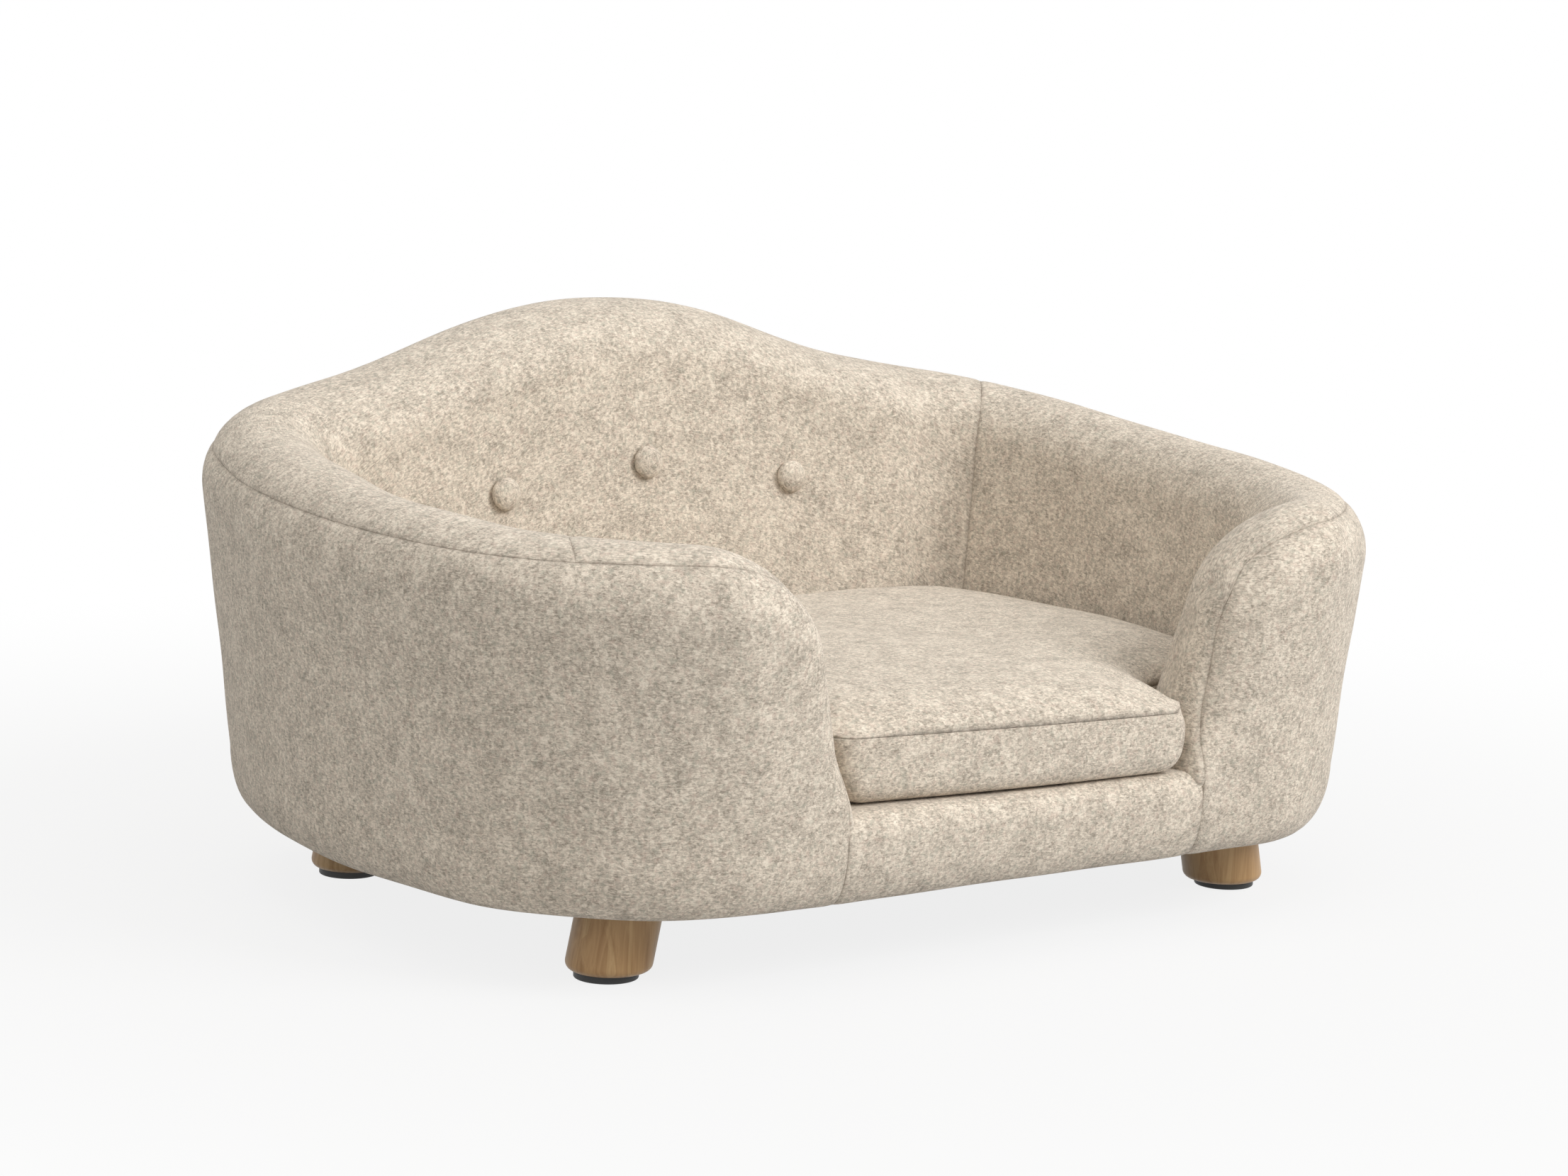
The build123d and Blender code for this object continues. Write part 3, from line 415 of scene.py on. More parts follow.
def left_cross(row):
    """Path of the left arm's cross seam: it slants as it comes over the top."""
    share = smooth((angle_of(row) - LEFT_CROSS_TURN[0]) / LEFT_CROSS_TURN[1])
    return reach_of(LEFT_CROSS_SEAM[0] + (LEFT_CROSS_SEAM[1] - LEFT_CROSS_SEAM[0]) * share) - HALF_PATH


def right_cross(row):
    """Path of the right side's seam, slanting the other way."""
    share = smooth((angle_of(row) - RIGHT_CROSS_TURN[0]) / RIGHT_CROSS_TURN[1])
    return HALF_PATH - reach_of(RIGHT_CROSS_SEAM[0] + (RIGHT_CROSS_SEAM[1] - RIGHT_CROSS_SEAM[0]) * share)


NOSE_REACH = reach_of(NOSE_GAP)


def seam_lines():
    """Points about a millimetre apart along every seam of the tub's cloth."""
    half = np.arange(0.0, HALF_PATH - NOSE_REACH, TOP_SEAM_STEP)
    path = np.concatenate([-half[::-1], half[1:], [-(HALF_PATH - NOSE_REACH), HALF_PATH - NOSE_REACH]])
    lines = [tub(path, seam_row(path))]
    _, nose_centre, nose_radius = rounded_top(HALF_PATH - NOSE_REACH)
    heights = np.arange(UNDER, nose_centre - nose_radius * LEAN_SIN, UPRIGHT_SEAM_STEP)
    for side in (-1, 1):
        reach = nose_reach(heights)
        path = side * (HALF_PATH - reach)
        out = outer_out(path, heights)
        low = heights < EDGE_TOP
        bend = np.arccos(np.clip(1 - (heights - UNDER) / EDGE_RISE, -1, 1))
        lines.append(place(path, np.where(low, edge_out(bend), out), heights))
    rows = np.linspace(CROSS_SEAM_START, 5, CROSS_SEAM_POINTS)
    for cross in (left_cross, right_cross):
        path = cross(rows)
        on = rows >= seam_row(path)
        lines.append(tub(path[on], rows[on]))
    return np.concatenate(lines)


def nearest(points, line):
    """Distance from every point to the nearest point of a line, in batches of whole arrays."""
    flat = points.reshape(-1, 3).astype(np.float32)
    line = line.astype(np.float32)
    batch_size = 1500
    batches = np.array_split(flat, len(flat) // batch_size + 1)
    found = [np.sqrt(((batch[:, None] - line[None]) ** 2).sum(-1).min(1)) for batch in batches]
    return np.concatenate(found).reshape(points.shape[:-1])


SEAMS = seam_lines()
random = np.random.default_rng(7)
WAVES = random.normal(size=(WAVE_COUNT, 3)) / random.uniform(*WAVE_LENGTHS, size=(WAVE_COUNT, 1))
PHASES = random.uniform(0, 2 * np.pi, WAVE_COUNT)


def unevenness(points, size):
    """Slow unevenness of stuffed cloth: the mean of sine waves in chance directions, times a size."""
    return size * np.sin(points @ WAVES.T + PHASES).sum(-1) / np.sqrt(len(PHASES))


def spread(length, step, first=False, last=False):
    """Shares from 0 to 1 about a step apart, with closer ones beside a seam at the first or last end."""
    start = SEAM_ROWS / length if first else np.zeros(1)
    end = 1 - SEAM_ROWS[::-1] / length if last else np.ones(1)
    count = max(2, int(round((end[0] - start[-1]) * length / step)))
    between = np.linspace(start[-1], end[0], count + 1)[1:-1]
    return np.concatenate([start, between, end])


# Middles of the covered buttons, which sit on the inner face of the back
BUTTONS = ("button_left", "button_centre", "button_right")
BUTTON_SPOTS = []
for button in BUTTONS:
    low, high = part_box(button)
    BUTTON_SPOTS.append(np.array((low + high) / 2) / MM)


def dressed(points, normals):
    """Skin pulled in beside seams and buttons and made slightly uneven.

    A seam's pull dies away exponentially, and a button's along a bell curve.
    """
    distance = nearest(points, SEAMS)
    calm = 1 - np.exp(-distance / CALM_REACH)
    move = -PINCH_DEPTH * np.exp(-distance / PINCH_REACH) + unevenness(points, TUB_PUFF) * calm
    for spot in BUTTON_SPOTS:
        away = np.linalg.norm(points - spot, axis=-1)
        move = move - BUTTON_DIMPLE * np.exp(-(away / BUTTON_DIMPLE_REACH) ** 2)
    return points + normals * move[..., None], distance


EDGES = {"first_row": (0, 0), "last_row": (0, -1), "first_column": (1, 0), "last_column": (1, -1)}


def turned_in(points, normals, distance, edges):
    """Grid with a further line along each named edge, pushed in under the skin as a seam allowance."""
    for edge in edges:
        axis, index = EDGES[edge]
        rim = np.take(points, [index], axis) - TURN_IN * np.take(normals, [index], axis)
        pairs = [(points, rim), (normals, np.take(normals, [index], axis)),
                 (distance, np.take(distance, [index], axis))]
        order = slice(None, None, -1) if index == 0 else slice(None)
        points, normals, distance = [np.concatenate([a, b][order], axis) for a, b in pairs]
    return points, distance


def grid_faces(rows, columns, first, flip, wrap=False):
    """Corner numbers of every quad of a grid whose points are counted row by row."""
    row = np.arange(rows - 1)[:, None]
    column = np.arange(columns if wrap else columns - 1)[None, :]
    after = (column + 1) % columns
    below = row * columns
    above = below + columns
    corners = [below + column, below + after, above + after, above + column]
    faces = np.stack(corners, -1).reshape(-1, 4) + first
    return faces[:, ::-1] if flip else faces


def lengths_of(points):
    """Cloth lengths over a grid: along its middle row, and down each column from its first row."""
    middle = points[len(points) // 2]
    along = np.concatenate([[0], np.linalg.norm(np.diff(middle, axis=0), axis=-1).cumsum()])
    down = np.linalg.norm(np.diff(points, axis=0), axis=-1).cumsum(0)
    down = np.concatenate([np.zeros((1, points.shape[1])), down])
    return np.stack([np.broadcast_to(along, down.shape), down], -1)


def seamless(points, flip, closed):
    """Entry for make_piece of a grid with no seam on it."""
    return points, np.full(points.shape[:2], NO_SEAM), flip, closed


def make_piece(name, grids, material, loops=(), cloth=0.0):
    """One smooth mesh from grids of (points, distance to a seam, flipped, closed) and flat loops of points.

    Equal points of neighbouring grids are merged, so poles and joins are closed. The UV map holds the cloth's
    own lengths in metres, and the attribute seam fades from 1 on a seam to 0: the felt paints shade with it.
    """
    points, seam, lengths, faces = [], [], [], []
    count = 0
    for grid, distance, flip, wrap in grids:
        faces += grid_faces(grid.shape[0], grid.shape[1], count, flip, wrap).tolist()
        points.append(grid.reshape(-1, 3))
        seam.append(np.exp(-distance / SEAM_LINE).reshape(-1))
        lengths.append(lengths_of(grid).reshape(-1, 2))
        count += grid.shape[0] * grid.shape[1]
    for loop, flip in loops:
        order = list(range(count, count + len(loop)))
        faces.append(order[::-1] if flip else order)
        points.append(loop)
        seam.append(np.zeros(len(loop)))
        lengths.append(loop[:, [0, 2]])
        count += len(loop)
    mesh = bpy.data.meshes.new(name)
    mesh.from_pydata(np.concatenate(points) * MM, [], faces)
    corner = np.zeros(len(mesh.loops), np.int32)
    mesh.loops.foreach_get("vertex_index", corner)
    uv = mesh.uv_layers.new(name="cloth")
    uv.data.foreach_set("uv", (np.concatenate(lengths)[corner] * MM).astype(np.float32).ravel())
    attribute = mesh.attributes.new("seam", "FLOAT", "POINT")
    attribute.data.foreach_set("value", np.concatenate(seam).astype(np.float32))
    work = bmesh.new()
    work.from_mesh(mesh)
    bmesh.ops.remove_doubles(work, verts=work.verts, dist=MERGE * MM)
    work.to_mesh(mesh)
    work.free()
    mesh.polygons.foreach_set("use_smooth", np.ones(len(mesh.polygons), bool))
    mesh.materials.append(material)
    piece = bpy.data.objects.new(name, mesh)
    bpy.context.scene.collection.objects.link(piece)
    if cloth:
        solid = piece.modifiers.new("cloth thickness", "SOLIDIFY")
        solid.thickness = cloth * MM
        solid.offset = -1.0
    return piece


def linear(code):
    """Linear colour of an sRGB hex code: the piecewise sRGB curve undone."""
    value = np.array([int(code[i:i + 2], 16) for i in (1, 3, 5)]) / 255
    value = np.where(value <= 0.04045, value / 12.92, ((value + 0.055) / 1.055) ** 2.4)
    return (*value, 1.0)


def new_material(name):
    """New node material and its Principled shader."""
    material = bpy.data.materials.new(name)
    material.use_nodes = True
    return material, material.node_tree.nodes["Principled BSDF"]


def add(material, kind, links=(), **settings):
    """One node of a material or the world with its settings; links are (input, value or output socket)."""
    node = material.node_tree.nodes.new("ShaderNode" + kind)
    for key, value in settings.items():
        setattr(node, key, value)
    connect(material, node, links)
    return node


def connect(material, node, links):
    """Set or link inputs of a node, named or numbered."""
    for key, value in links:
        if isinstance(value, bpy.types.NodeSocket):
            material.node_tree.links.new(value, node.inputs[key])
        else:
            node.inputs[key].default_value = value


def blended(material, share, first, second, kind="MIX"):
    """Colour between two, by a share."""
    node = add(material, "Mix", [(0, share)], data_type="RGBA", blend_type=kind)
    connect(material, node, [(6, first), (7, second)])
    return node.outputs[2]


def surface(material, shader, colour, bump, roughness, index):
    """Colour, relief, roughness and index of refraction on the shader."""
    connect(material, shader, [("Base Color", colour), ("Roughness", roughness), ("IOR", index),
                               ("Normal", bump.outputs[0])])


def ramp(material, value, stops):
    """Colour or grey looked up from a value through stops of (place, hex code)."""
    node = add(material, "ValToRGB", [(0, value)])
    band = node.color_ramp
    while len(band.elements) < len(stops):
        band.elements.new(0.5)
    for element, (spot, code) in zip(band.elements, stops):
        element.position = spot
        element.color = linear(code)
    return node.outputs[0]


# Felt: repeats per metre of each pattern, and how much of the mottling each one makes
FIBRE_REPEATS = (380, 1250, 1)
FIBRE_SLANT = 0.35
TUFT_REPEATS = 400.0
CLOUD_REPEATS = 75.0
FLECK_REPEATS = 360.0
FIBRE_SHARE = 0.38
TUFT_SHARE = 0.44
CLOUD_SHARE = 0.18
# how strongly the felt is darkened along its seams: painted shade in their grooves
PAINTED_SEAM_SHADE = 0.58


def felt(name):
    """Needle-felted heather cloth: matted cream and taupe wool fibres, matt, with a faint halo of loose ends.

    Fibres are about 0.3 mm thick and 4 mm long, drawn 0.8 mm wide so that they show; they clump in 2 to 4 mm
    tufts and drift in 20 mm clouds. Single grey-green and pink fibres lie among them.
    """
    material, shader = new_material(name)
    spot = add(material, "TexCoord").outputs["Object"]
    lay = add(material, "UVMap", uv_map="cloth").outputs[0]
    stretch = add(material, "Mapping", [("Vector", lay), ("Rotation", (0, 0, FIBRE_SLANT)),
                                        ("Scale", FIBRE_REPEATS)])
    fibre = add(material, "TexNoise", [("Vector", stretch.outputs[0]), ("Scale", 1.0), ("Detail", 3.0),
                                       ("Roughness", 0.6), ("Distortion", 0.8)], noise_dimensions="2D")
    tuft = add(material, "TexNoise", [("Vector", spot), ("Scale", TUFT_REPEATS), ("Detail", 3.0),
                                      ("Roughness", 0.6), ("Distortion", 0.6)])
    cloud = add(material, "TexNoise", [("Vector", spot), ("Scale", CLOUD_REPEATS), ("Detail", 3.0)])
    fine = add(material, "Math", [(0, fibre.outputs[0]), (1, FIBRE_SHARE)], operation="MULTIPLY")
    middle = add(material, "Math", [(0, tuft.outputs[0]), (1, TUFT_SHARE), (2, fine.outputs[0])],
                 operation="MULTIPLY_ADD")
    mixed = add(material, "Math", [(0, cloud.outputs[0]), (1, CLOUD_SHARE), (2, middle.outputs[0])],
                operation="MULTIPLY_ADD")
    wool = [(0.38, "#978E80"), (0.46, "#B9AEA0"), (0.53, "#D4C8B8"), (0.61, "#EBE0D0")]
    colour = ramp(material, mixed.outputs[0], wool)
    fleck = add(material, "TexNoise", [("Vector", spot), ("Scale", FLECK_REPEATS), ("Detail", 1.5)])
    green = ramp(material, fleck.outputs[0], [(0.57, "#000000"), (0.67, "#8E8E8E")])
    colour = blended(material, green, colour, linear("#A3A798"))
    pink = ramp(material, fleck.outputs[0], [(0.32, "#8A8A8A"), (0.41, "#000000")])
    colour = blended(material, pink, colour, linear("#CBB0A2"))
    # Painted shade: the cloth is darkened towards #75695B along every seam, standing in for the shade in its
    # groove
    seam = add(material, "Attribute", attribute_name="seam")
    shade = add(material, "Math", [(0, seam.outputs["Fac"]), (1, PAINTED_SEAM_SHADE)], operation="MULTIPLY")
    colour = blended(material, shade.outputs[0], colour, linear("#75695B"))
    bump = add(material, "Bump", [("Height", mixed.outputs[0]), ("Distance", 0.0007), ("Strength", 0.45)])
    surface(material, shader, colour, bump, 0.95, 1.46)
    connect(material, shader, [("Sheen Weight", 0.12), ("Sheen Roughness", 0.6)])
    return material


def padding(name):
    """Open-cell polyurethane foam: pale yellow, dull, with cells of about 1 mm drawn as small pits with
    painted shade.
    """
    material, shader = new_material(name)
    spot = add(material, "TexCoord").outputs["Object"]
    cells = add(material, "TexVoronoi", [("Vector", spot), ("Scale", 900.0)])
    # Painted shade: each cell is darker in its middle, where the bump sinks into a pit
    colour = ramp(material, cells.outputs[0], [(0.0, "#B9A878"), (0.6, "#E6DAB4")])
    bump = add(material, "Bump", [("Height", cells.outputs[0]), ("Distance", 0.0006)])
    surface(material, shader, colour, bump, 0.9, 1.45)
    return material


def lining(name):
    """Spunbond polypropylene under the base: black, thin, with a grid of 2 mm pressed dots."""
    material, shader = new_material(name)
    spot = add(material, "TexCoord").outputs["Object"]
    dots = add(material, "TexVoronoi", [("Vector", spot), ("Scale", 480.0), ("Randomness", 0.1)])
    colour = ramp(material, dots.outputs[0], [(0.2, "#17171A"), (0.4, "#2A2A2E")])
    bump = add(material, "Bump", [("Height", dots.outputs[0]), ("Distance", 0.0003)])
    surface(material, shader, colour, bump, 0.75, 1.49)
    return material


# along the grain, streaks are this share of their number across it
GRAIN_STRETCH = 0.06


def wood(name, pale, dark, across, stave, roughness):
    """Wood with its grain along Z: streaks a few millimetres wide that run far along it, and glued staves.

    Rubberwood legs are sanded and clear-lacquered; boards are raw plywood.
    """
    material, shader = new_material(name)
    spot = add(material, "TexCoord").outputs["Object"]
    grain = add(material, "Mapping", [("Vector", spot), ("Scale", (across, across, across * GRAIN_STRETCH))])
    streak = add(material, "TexNoise", [("Vector", grain.outputs[0]), ("Scale", 1.0), ("Detail", 5.0),
                                        ("Roughness", 0.6), ("Distortion", 0.5)])
    colour = ramp(material, streak.outputs[0], [(0.30, dark), (0.5, pale), (0.72, dark)])
    glued = add(material, "Mapping", [("Vector", spot), ("Scale", (stave, stave, 0.001))])
    staves = add(material, "TexVoronoi", [("Vector", glued.outputs[0]), ("Scale", 1.0)])
    tone = ramp(material, staves.outputs["Color"], [(0.1, "#C4A582"), (0.9, "#FFFFFF")])
    colour = blended(material, 0.55, colour, tone, "MULTIPLY")
    bump = add(material, "Bump", [("Height", streak.outputs[0]), ("Distance", 0.0002), ("Strength", 0.4)])
    surface(material, shader, colour, bump, roughness, 1.5)
    return material


def moulded(name, code, roughness):
    """Injection-moulded polymer: one colour with a fine spark-eroded grain of about 0.3 mm."""
    material, shader = new_material(name)
    spot = add(material, "TexCoord").outputs["Object"]
    grain = add(material, "TexNoise", [("Vector", spot), ("Scale", 2500.0), ("Detail", 2.0)])
    colour = blended(material, grain.outputs[0], linear(code), linear("#3A3A3A"))
    bump = add(material, "Bump", [("Height", grain.outputs[0]), ("Distance", 0.0001)])
    surface(material, shader, colour, bump, roughness, 1.5)
    return material


def metal(name, code, roughness):
    """Plated steel: cloudy plating with patches a few millimetres wide that vary its roughness."""
    material, shader = new_material(name)
    spot = add(material, "TexCoord").outputs["Object"]
    patches = add(material, "TexNoise", [("Vector", spot), ("Scale", 300.0), ("Detail", 3.0)])
    colour = ramp(material, patches.outputs[0], [(0.3, "#8C8A84"), (0.7, code)])
    rough = add(material, "MapRange", [(0, patches.outputs[0]), (3, roughness - 0.08), (4, roughness + 0.1)])
    connect(material, shader, [("Base Color", colour), ("Metallic", 1.0), ("Roughness", rough.outputs[0])])
    return material


def woven(name, code, pale):
    """Polyester twill tape: threads 0.5 mm apart in two directions, drawn as crossed waves."""
    material, shader = new_material(name)
    spot = add(material, "TexCoord").outputs["Object"]
    warp = add(material, "TexWave", [("Vector", spot), ("Scale", 280.0)], bands_direction="X")
    weft = add(material, "TexWave", [("Vector", spot), ("Scale", 280.0)], bands_direction="Z")
    cross = add(material, "Math", [(0, warp.outputs[1]), (1, weft.outputs[1])], operation="MULTIPLY")
    colour = ramp(material, cross.outputs[0], [(0.0, code), (1.0, pale)])
    bump = add(material, "Bump", [("Height", cross.outputs[0]), ("Distance", 0.0002)])
    surface(material, shader, colour, bump, 0.8, 1.5)
    return material


tub_felt = felt("heather wool felt on the tub")
cushion_felt = felt("heather wool felt on the cushion")
foam = padding("open-cell foam")
dust_lining = lining("black spunbond dust cover")
leg_wood = wood("lacquered rubberwood", "#CDAB7C", "#AC8657", 160.0, 95.0, 0.42)
board_wood = wood("raw poplar plywood", "#D2B98F", "#B99B6E", 90.0, 12.0, 0.75)
glide_plastic = moulded("black polypropylene glide", "#141414", 0.5)
plated_steel = metal("zinc-plated steel", "#C9C8C2", 0.38)
zip_nickel = metal("nickel-plated zinc zip slider", "#D8D5CC", 0.28)
zip_cloth = woven("polyester zip tape", "#8F8577", "#B8AE9E")
zip_coil = moulded("nylon zip coil", "#8A8073", 0.45)
tie_cord = woven("waxed polyester button twine", "#A69B8B", "#D8CEBF")

# Rows up the outer panel, up a cap's face, over the roll and down the inner face
LOWER_ROWS = np.concatenate([
    np.linspace(0, 1, 5)[:-1],
    np.linspace(1, 2, 13)[:-1],
    np.linspace(2, 3, 56)[:-1],
])
UP_TO_SEAM = spread(OUTER_ROLL, OUTER_ROLL_STEP, last=True)
FACE_ROWS = np.linspace(0, 1, 43)
OVER_ROLL = spread(INNER_ROLL, INNER_ROLL_STEP, first=True)[:, None]
DOWN_INSIDE = 4 + FACE_ROWS[1:, None]
# Columns of a cap, as shares of the way from the arm's tip to the upright seam, closer together at the seam
CAP_SHARES = np.append(np.sin(np.pi / 2 * np.linspace(0, 1, 20))[:-4], [0.955, 0.972, 0.986, 1.0])[None, :]


def outer_cover_grid():
    """Outer panel: columns run from seam to seam round the tub, rows from the flap up to the top seam.

    Towards an arm's nose each row's path is shifted, less and less away from it, so that the last column
    follows the upright seam.
    """
    length = 2 * (HALF_PATH - NOSE_REACH)
    path = (spread(length, PATH_STEP, True, True) - 0.5)[None, :] * length
    rows = np.concatenate([
        np.broadcast_to(LOWER_ROWS[:, None], (len(LOWER_ROWS), path.shape[1])),
        3 + (seam_row(path) - 3) * UP_TO_SEAM[:, None],
    ])
    share = np.clip(1 - (tip_distance(path) - NOSE_REACH) / SHIFT_REACH, 0, 1) ** SHIFT_POWER
    shifted = path + 0 * rows
    for _ in range(SHIFT_PASSES):
        shift = (nose_reach(tub(shifted, rows)[..., 2]) - NOSE_REACH) * share * (rows < 3)
        shifted = path - np.sign(path) * shift
    return shifted, rows


def inner_rows(path):
    """Rows from the top seam over the roll, and on down the inner face."""
    upper, lower = (path, path) if len(path) == 1 else (path[:len(OVER_ROLL)], path[len(OVER_ROLL):])
    start = seam_row(upper)
    return np.concatenate([start + (4 - start) * OVER_ROLL, DOWN_INSIDE + 0 * lower])


def inner_patch(first, last, first_seam, last_seam):
    """Patch of an inner panel from the top seam to the deck, between two paths that are functions of the row.

    Its width is measured halfway over the top, and columns are closer beside an end that is a seam.
    """
    halfway = np.array([3.5])
    start, end = first(halfway)[0], last(halfway)[0]
    share = spread(abs(end - start), PATH_STEP, first_seam, last_seam)[None, :]
    path = start + (end - start) * share
    for _ in range(PATH_PASSES):
        rows = inner_rows(path)
        path = first(rows) + (last(rows) - first(rows)) * share
    return path, rows


def nose_line(side):
    """Path of the edge that an arm's panel shares with its cap."""
    return lambda row: side * (HALF_PATH - NOSE_REACH) + 0 * row


def cap_heights(path):
    """Heights up the front face of an arm's cap, from the deck's board to the rounded top."""
    _, centre, radius = rounded_top(path)
    foot = centre - radius * LEAN_SIN
    return BOARD_TOP + (foot - BOARD_TOP) * FACE_ROWS[:, None]


def cap_patch(side):
    """Paths and heights over an arm's tip, in front of its upright seam: the columns fan out from the tip."""
    guess = NOSE_REACH * CAP_SHARES
    for _ in range(PATH_PASSES):
        reach = nose_reach(cap_heights(side * (HALF_PATH - guess))) * CAP_SHARES
        guess = reach[-1:]
    path = side * (HALF_PATH - reach)
    return path, cap_heights(path)


def cap_grids(side):
    """Grids of an arm's cap: the face in front, and the roll and inner face behind, joined at equal points.

    Near the upright seam the face swings forward to meet the outer panel, and low down it is tucked in.
    """
    path, heights = cap_patch(side)
    swing = smooth((CAP_SHARES - SWING_START) / (1 - SWING_START))
    straight = face_out(path, heights, 1)
    tucked = TUCK_DEPTH * smooth((TUCK_TOP - heights) / TUCK_RUN) * swing
    out = straight + (outer_out(path, heights) - straight) * swing - tucked
    _, centre, radius = rounded_top(path)
    rows = 2 + (heights - EDGE_TOP) / (centre - radius * LEAN_SIN - EDGE_TOP)
    normals = tub_normal(path, rows)
    points, distance = dressed(place(path, out, heights), normals)
    front = turned_in(points, normals, distance, ("last_column",))
    over_path = side * (HALF_PATH - NOSE_REACH * CAP_SHARES)
    over_rows = np.concatenate([3 + OVER_ROLL, DOWN_INSIDE]) + 0 * over_path
    over_normals = tub_normal(over_path, over_rows)
    over_normals[:len(OVER_ROLL), 0] = normals[-1, 0]
    over_normals[len(OVER_ROLL):, 0] = normals[-2::-1, 0]
    behind = dressed(tub(over_path, over_rows), over_normals)
    return [(*front, side < 0, False), (*behind, side < 0, False)]


def cover_grid(path, rows, edges):
    """Patch of the tub's skin as cloth, with a seam allowance along the named edges."""
    normals = tub_normal(path, rows)
    points, distance = dressed(tub(path, rows), normals)
    return (*turned_in(points, normals, distance, edges), True, False)


def cover_piece(name, grids, node):
    """Panel of the tub's cloth from its grids."""
    piece = make_piece(name, grids, tub_felt, cloth=CLOTH)
    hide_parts(node)
    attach(piece, "tub")


outer_grid = cover_grid(*outer_cover_grid(), ("last_row", "first_column", "last_column"))
cover_piece("outer_cover_felt", [outer_grid], "outer_cover")
left_grid = cover_grid(*inner_patch(nose_line(-1), left_cross, False, True), ("first_row", "last_column"))
cover_piece("left_arm_cover_felt", [left_grid, *cap_grids(-1)], "left_arm_cover")
back_patch = inner_patch(left_cross, right_cross, True, True)
back_grid = cover_grid(*back_patch, ("first_row", "first_column", "last_column"))
cover_piece("back_cover_felt", [back_grid], "back_cover")
right_grid = cover_grid(*inner_patch(right_cross, nose_line(1), True, False), ("first_row", "first_column"))
cover_piece("right_arm_cover_felt", [right_grid, *cap_grids(1)], "right_arm_cover")


def across_front(x, out, height):
    """Grid of one section carried straight across the front."""
    return np.stack([x + 0 * out[:, None], FRONT_Y - out[:, None] + 0 * x, height[:, None] + 0 * x], -1)


def rail_cover():
    """Front rail's cloth: a straight run of one section, wider where it lies flat under the arms.

    The section is the flap, the elliptic lower edge, the face, an elliptic upper edge and the flat top.
    """
    bend = np.radians(np.linspace(0, 90, 14))
    back = np.linspace(RAIL_TOP_OUT, -2 * ARM_HALF + RAIL_COVER_STOP, 12)[1:]
    flap = np.linspace(-EDGE_INSET - FLAP, -EDGE_INSET, 5)[:-1]
    out = np.concatenate([
        flap,
        edge_out(bend[:-1]),
        RAIL_TOP_OUT + (EDGE_OUT - RAIL_TOP_OUT) * np.cos(bend),
        back,
    ])
    height = np.concatenate([
        np.full(len(flap), UNDER),
        edge_height(bend[:-1]),
        EDGE_TOP + (DECK_TOP - EDGE_TOP) * np.sin(bend),
        np.full(len(back), DECK_TOP),
    ])
    flat_share = smooth((RAIL_TOP_OUT - RAIL_WIDENING_START - out) / RAIL_WIDENING_RUN)
    half = RAIL_SEAM_X + RAIL_WIDENING * flat_share * (height > EDGE_TOP)
    share = 2 * spread(2 * RAIL_SEAM_X, PATH_STEP, True, True) - 1
    points = across_front(share[None, :] * half[:, None], out, height)
    normals = np.cross(np.gradient(points, axis=1), np.gradient(points, axis=0))
    normals /= np.linalg.norm(normals, axis=-1, keepdims=True)
    points, distance = dressed(points, normals)
    points, distance = turned_in(points, normals, distance, ("first_column", "last_column"))
    cover_piece("front_rail_cover_felt", [(points, distance, False, False)], "front_rail_cover")


rail_cover()

# Rows of the wall's foam, from the lower edge over the rounded top and down inside
FOAM_ROWS = np.concatenate([
    np.linspace(1.05, 2, 8)[:-1],
    np.linspace(2, 3, 14)[:-1],
    np.linspace(3, 4, 18)[:-1],
    np.linspace(4, 4.97, 12),
])[:, None]


def foam_skin(path):
    """Outer surface of the wall's foam: the tub's skin at an inset."""
    return tub(path, FOAM_ROWS) - FOAM_INSET * tub_normal(path, FOAM_ROWS)


def foam_piece(name, rows, flip, node):
    """Block of foam on the tub from rows that go round it, with a flat face at its first and last column."""
    loop = np.concatenate([*rows, rows[0][:1]])
    ends = [(loop[:-1, 0], flip), (loop[:-1, -1], not flip)]
    piece = make_piece(name, [seamless(loop, flip, False)], foam, ends)
    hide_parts(node)
    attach(piece, "tub")


def wall_padding(name, first, last, node):
    """Wall foam between two paths, closed round the board that it is slotted over."""
    path = np.linspace(first, last, max(8, int(abs(last - first) / FOAM_STEP)))[None, :]
    _, centre, radius = rounded_top(path)
    slot_top = centre + radius - BOARD_DROP + FOAM_PLAY
    corners = [
        (BOARD_IN + FOAM_PLAY, BOARD_TOP + FOAM_PLAY),
        (BOARD_IN + FOAM_PLAY, slot_top),
        (BOARD_OUT - FOAM_PLAY, slot_top),
        (BOARD_OUT - FOAM_PLAY, UNDER + FOAM_FOOT),
    ]
    slot = [place(path, LEAN * (height - BODY_BOTTOM) - inset / LEAN_COS, height + 0 * path)
            for inset, height in corners]
    foam_piece(name, [foam_skin(path), *slot], True, node)


WALL_SPLIT = HALF_PATH - reach_of(RIGHT_CROSS_SEAM[0])
FULL_WALL = HALF_PATH - TIP
wall_padding("left_wall_padding", -FULL_WALL + FOAM_PLAY, -WALL_SPLIT - FOAM_PLAY, "left_wall_foam")
wall_padding("back_wall_padding", -WALL_SPLIT + FOAM_PLAY, WALL_SPLIT - FOAM_PLAY, "back_wall_foam")
wall_padding("right_wall_padding", WALL_SPLIT + FOAM_PLAY, FULL_WALL - FOAM_PLAY, "right_wall_foam")


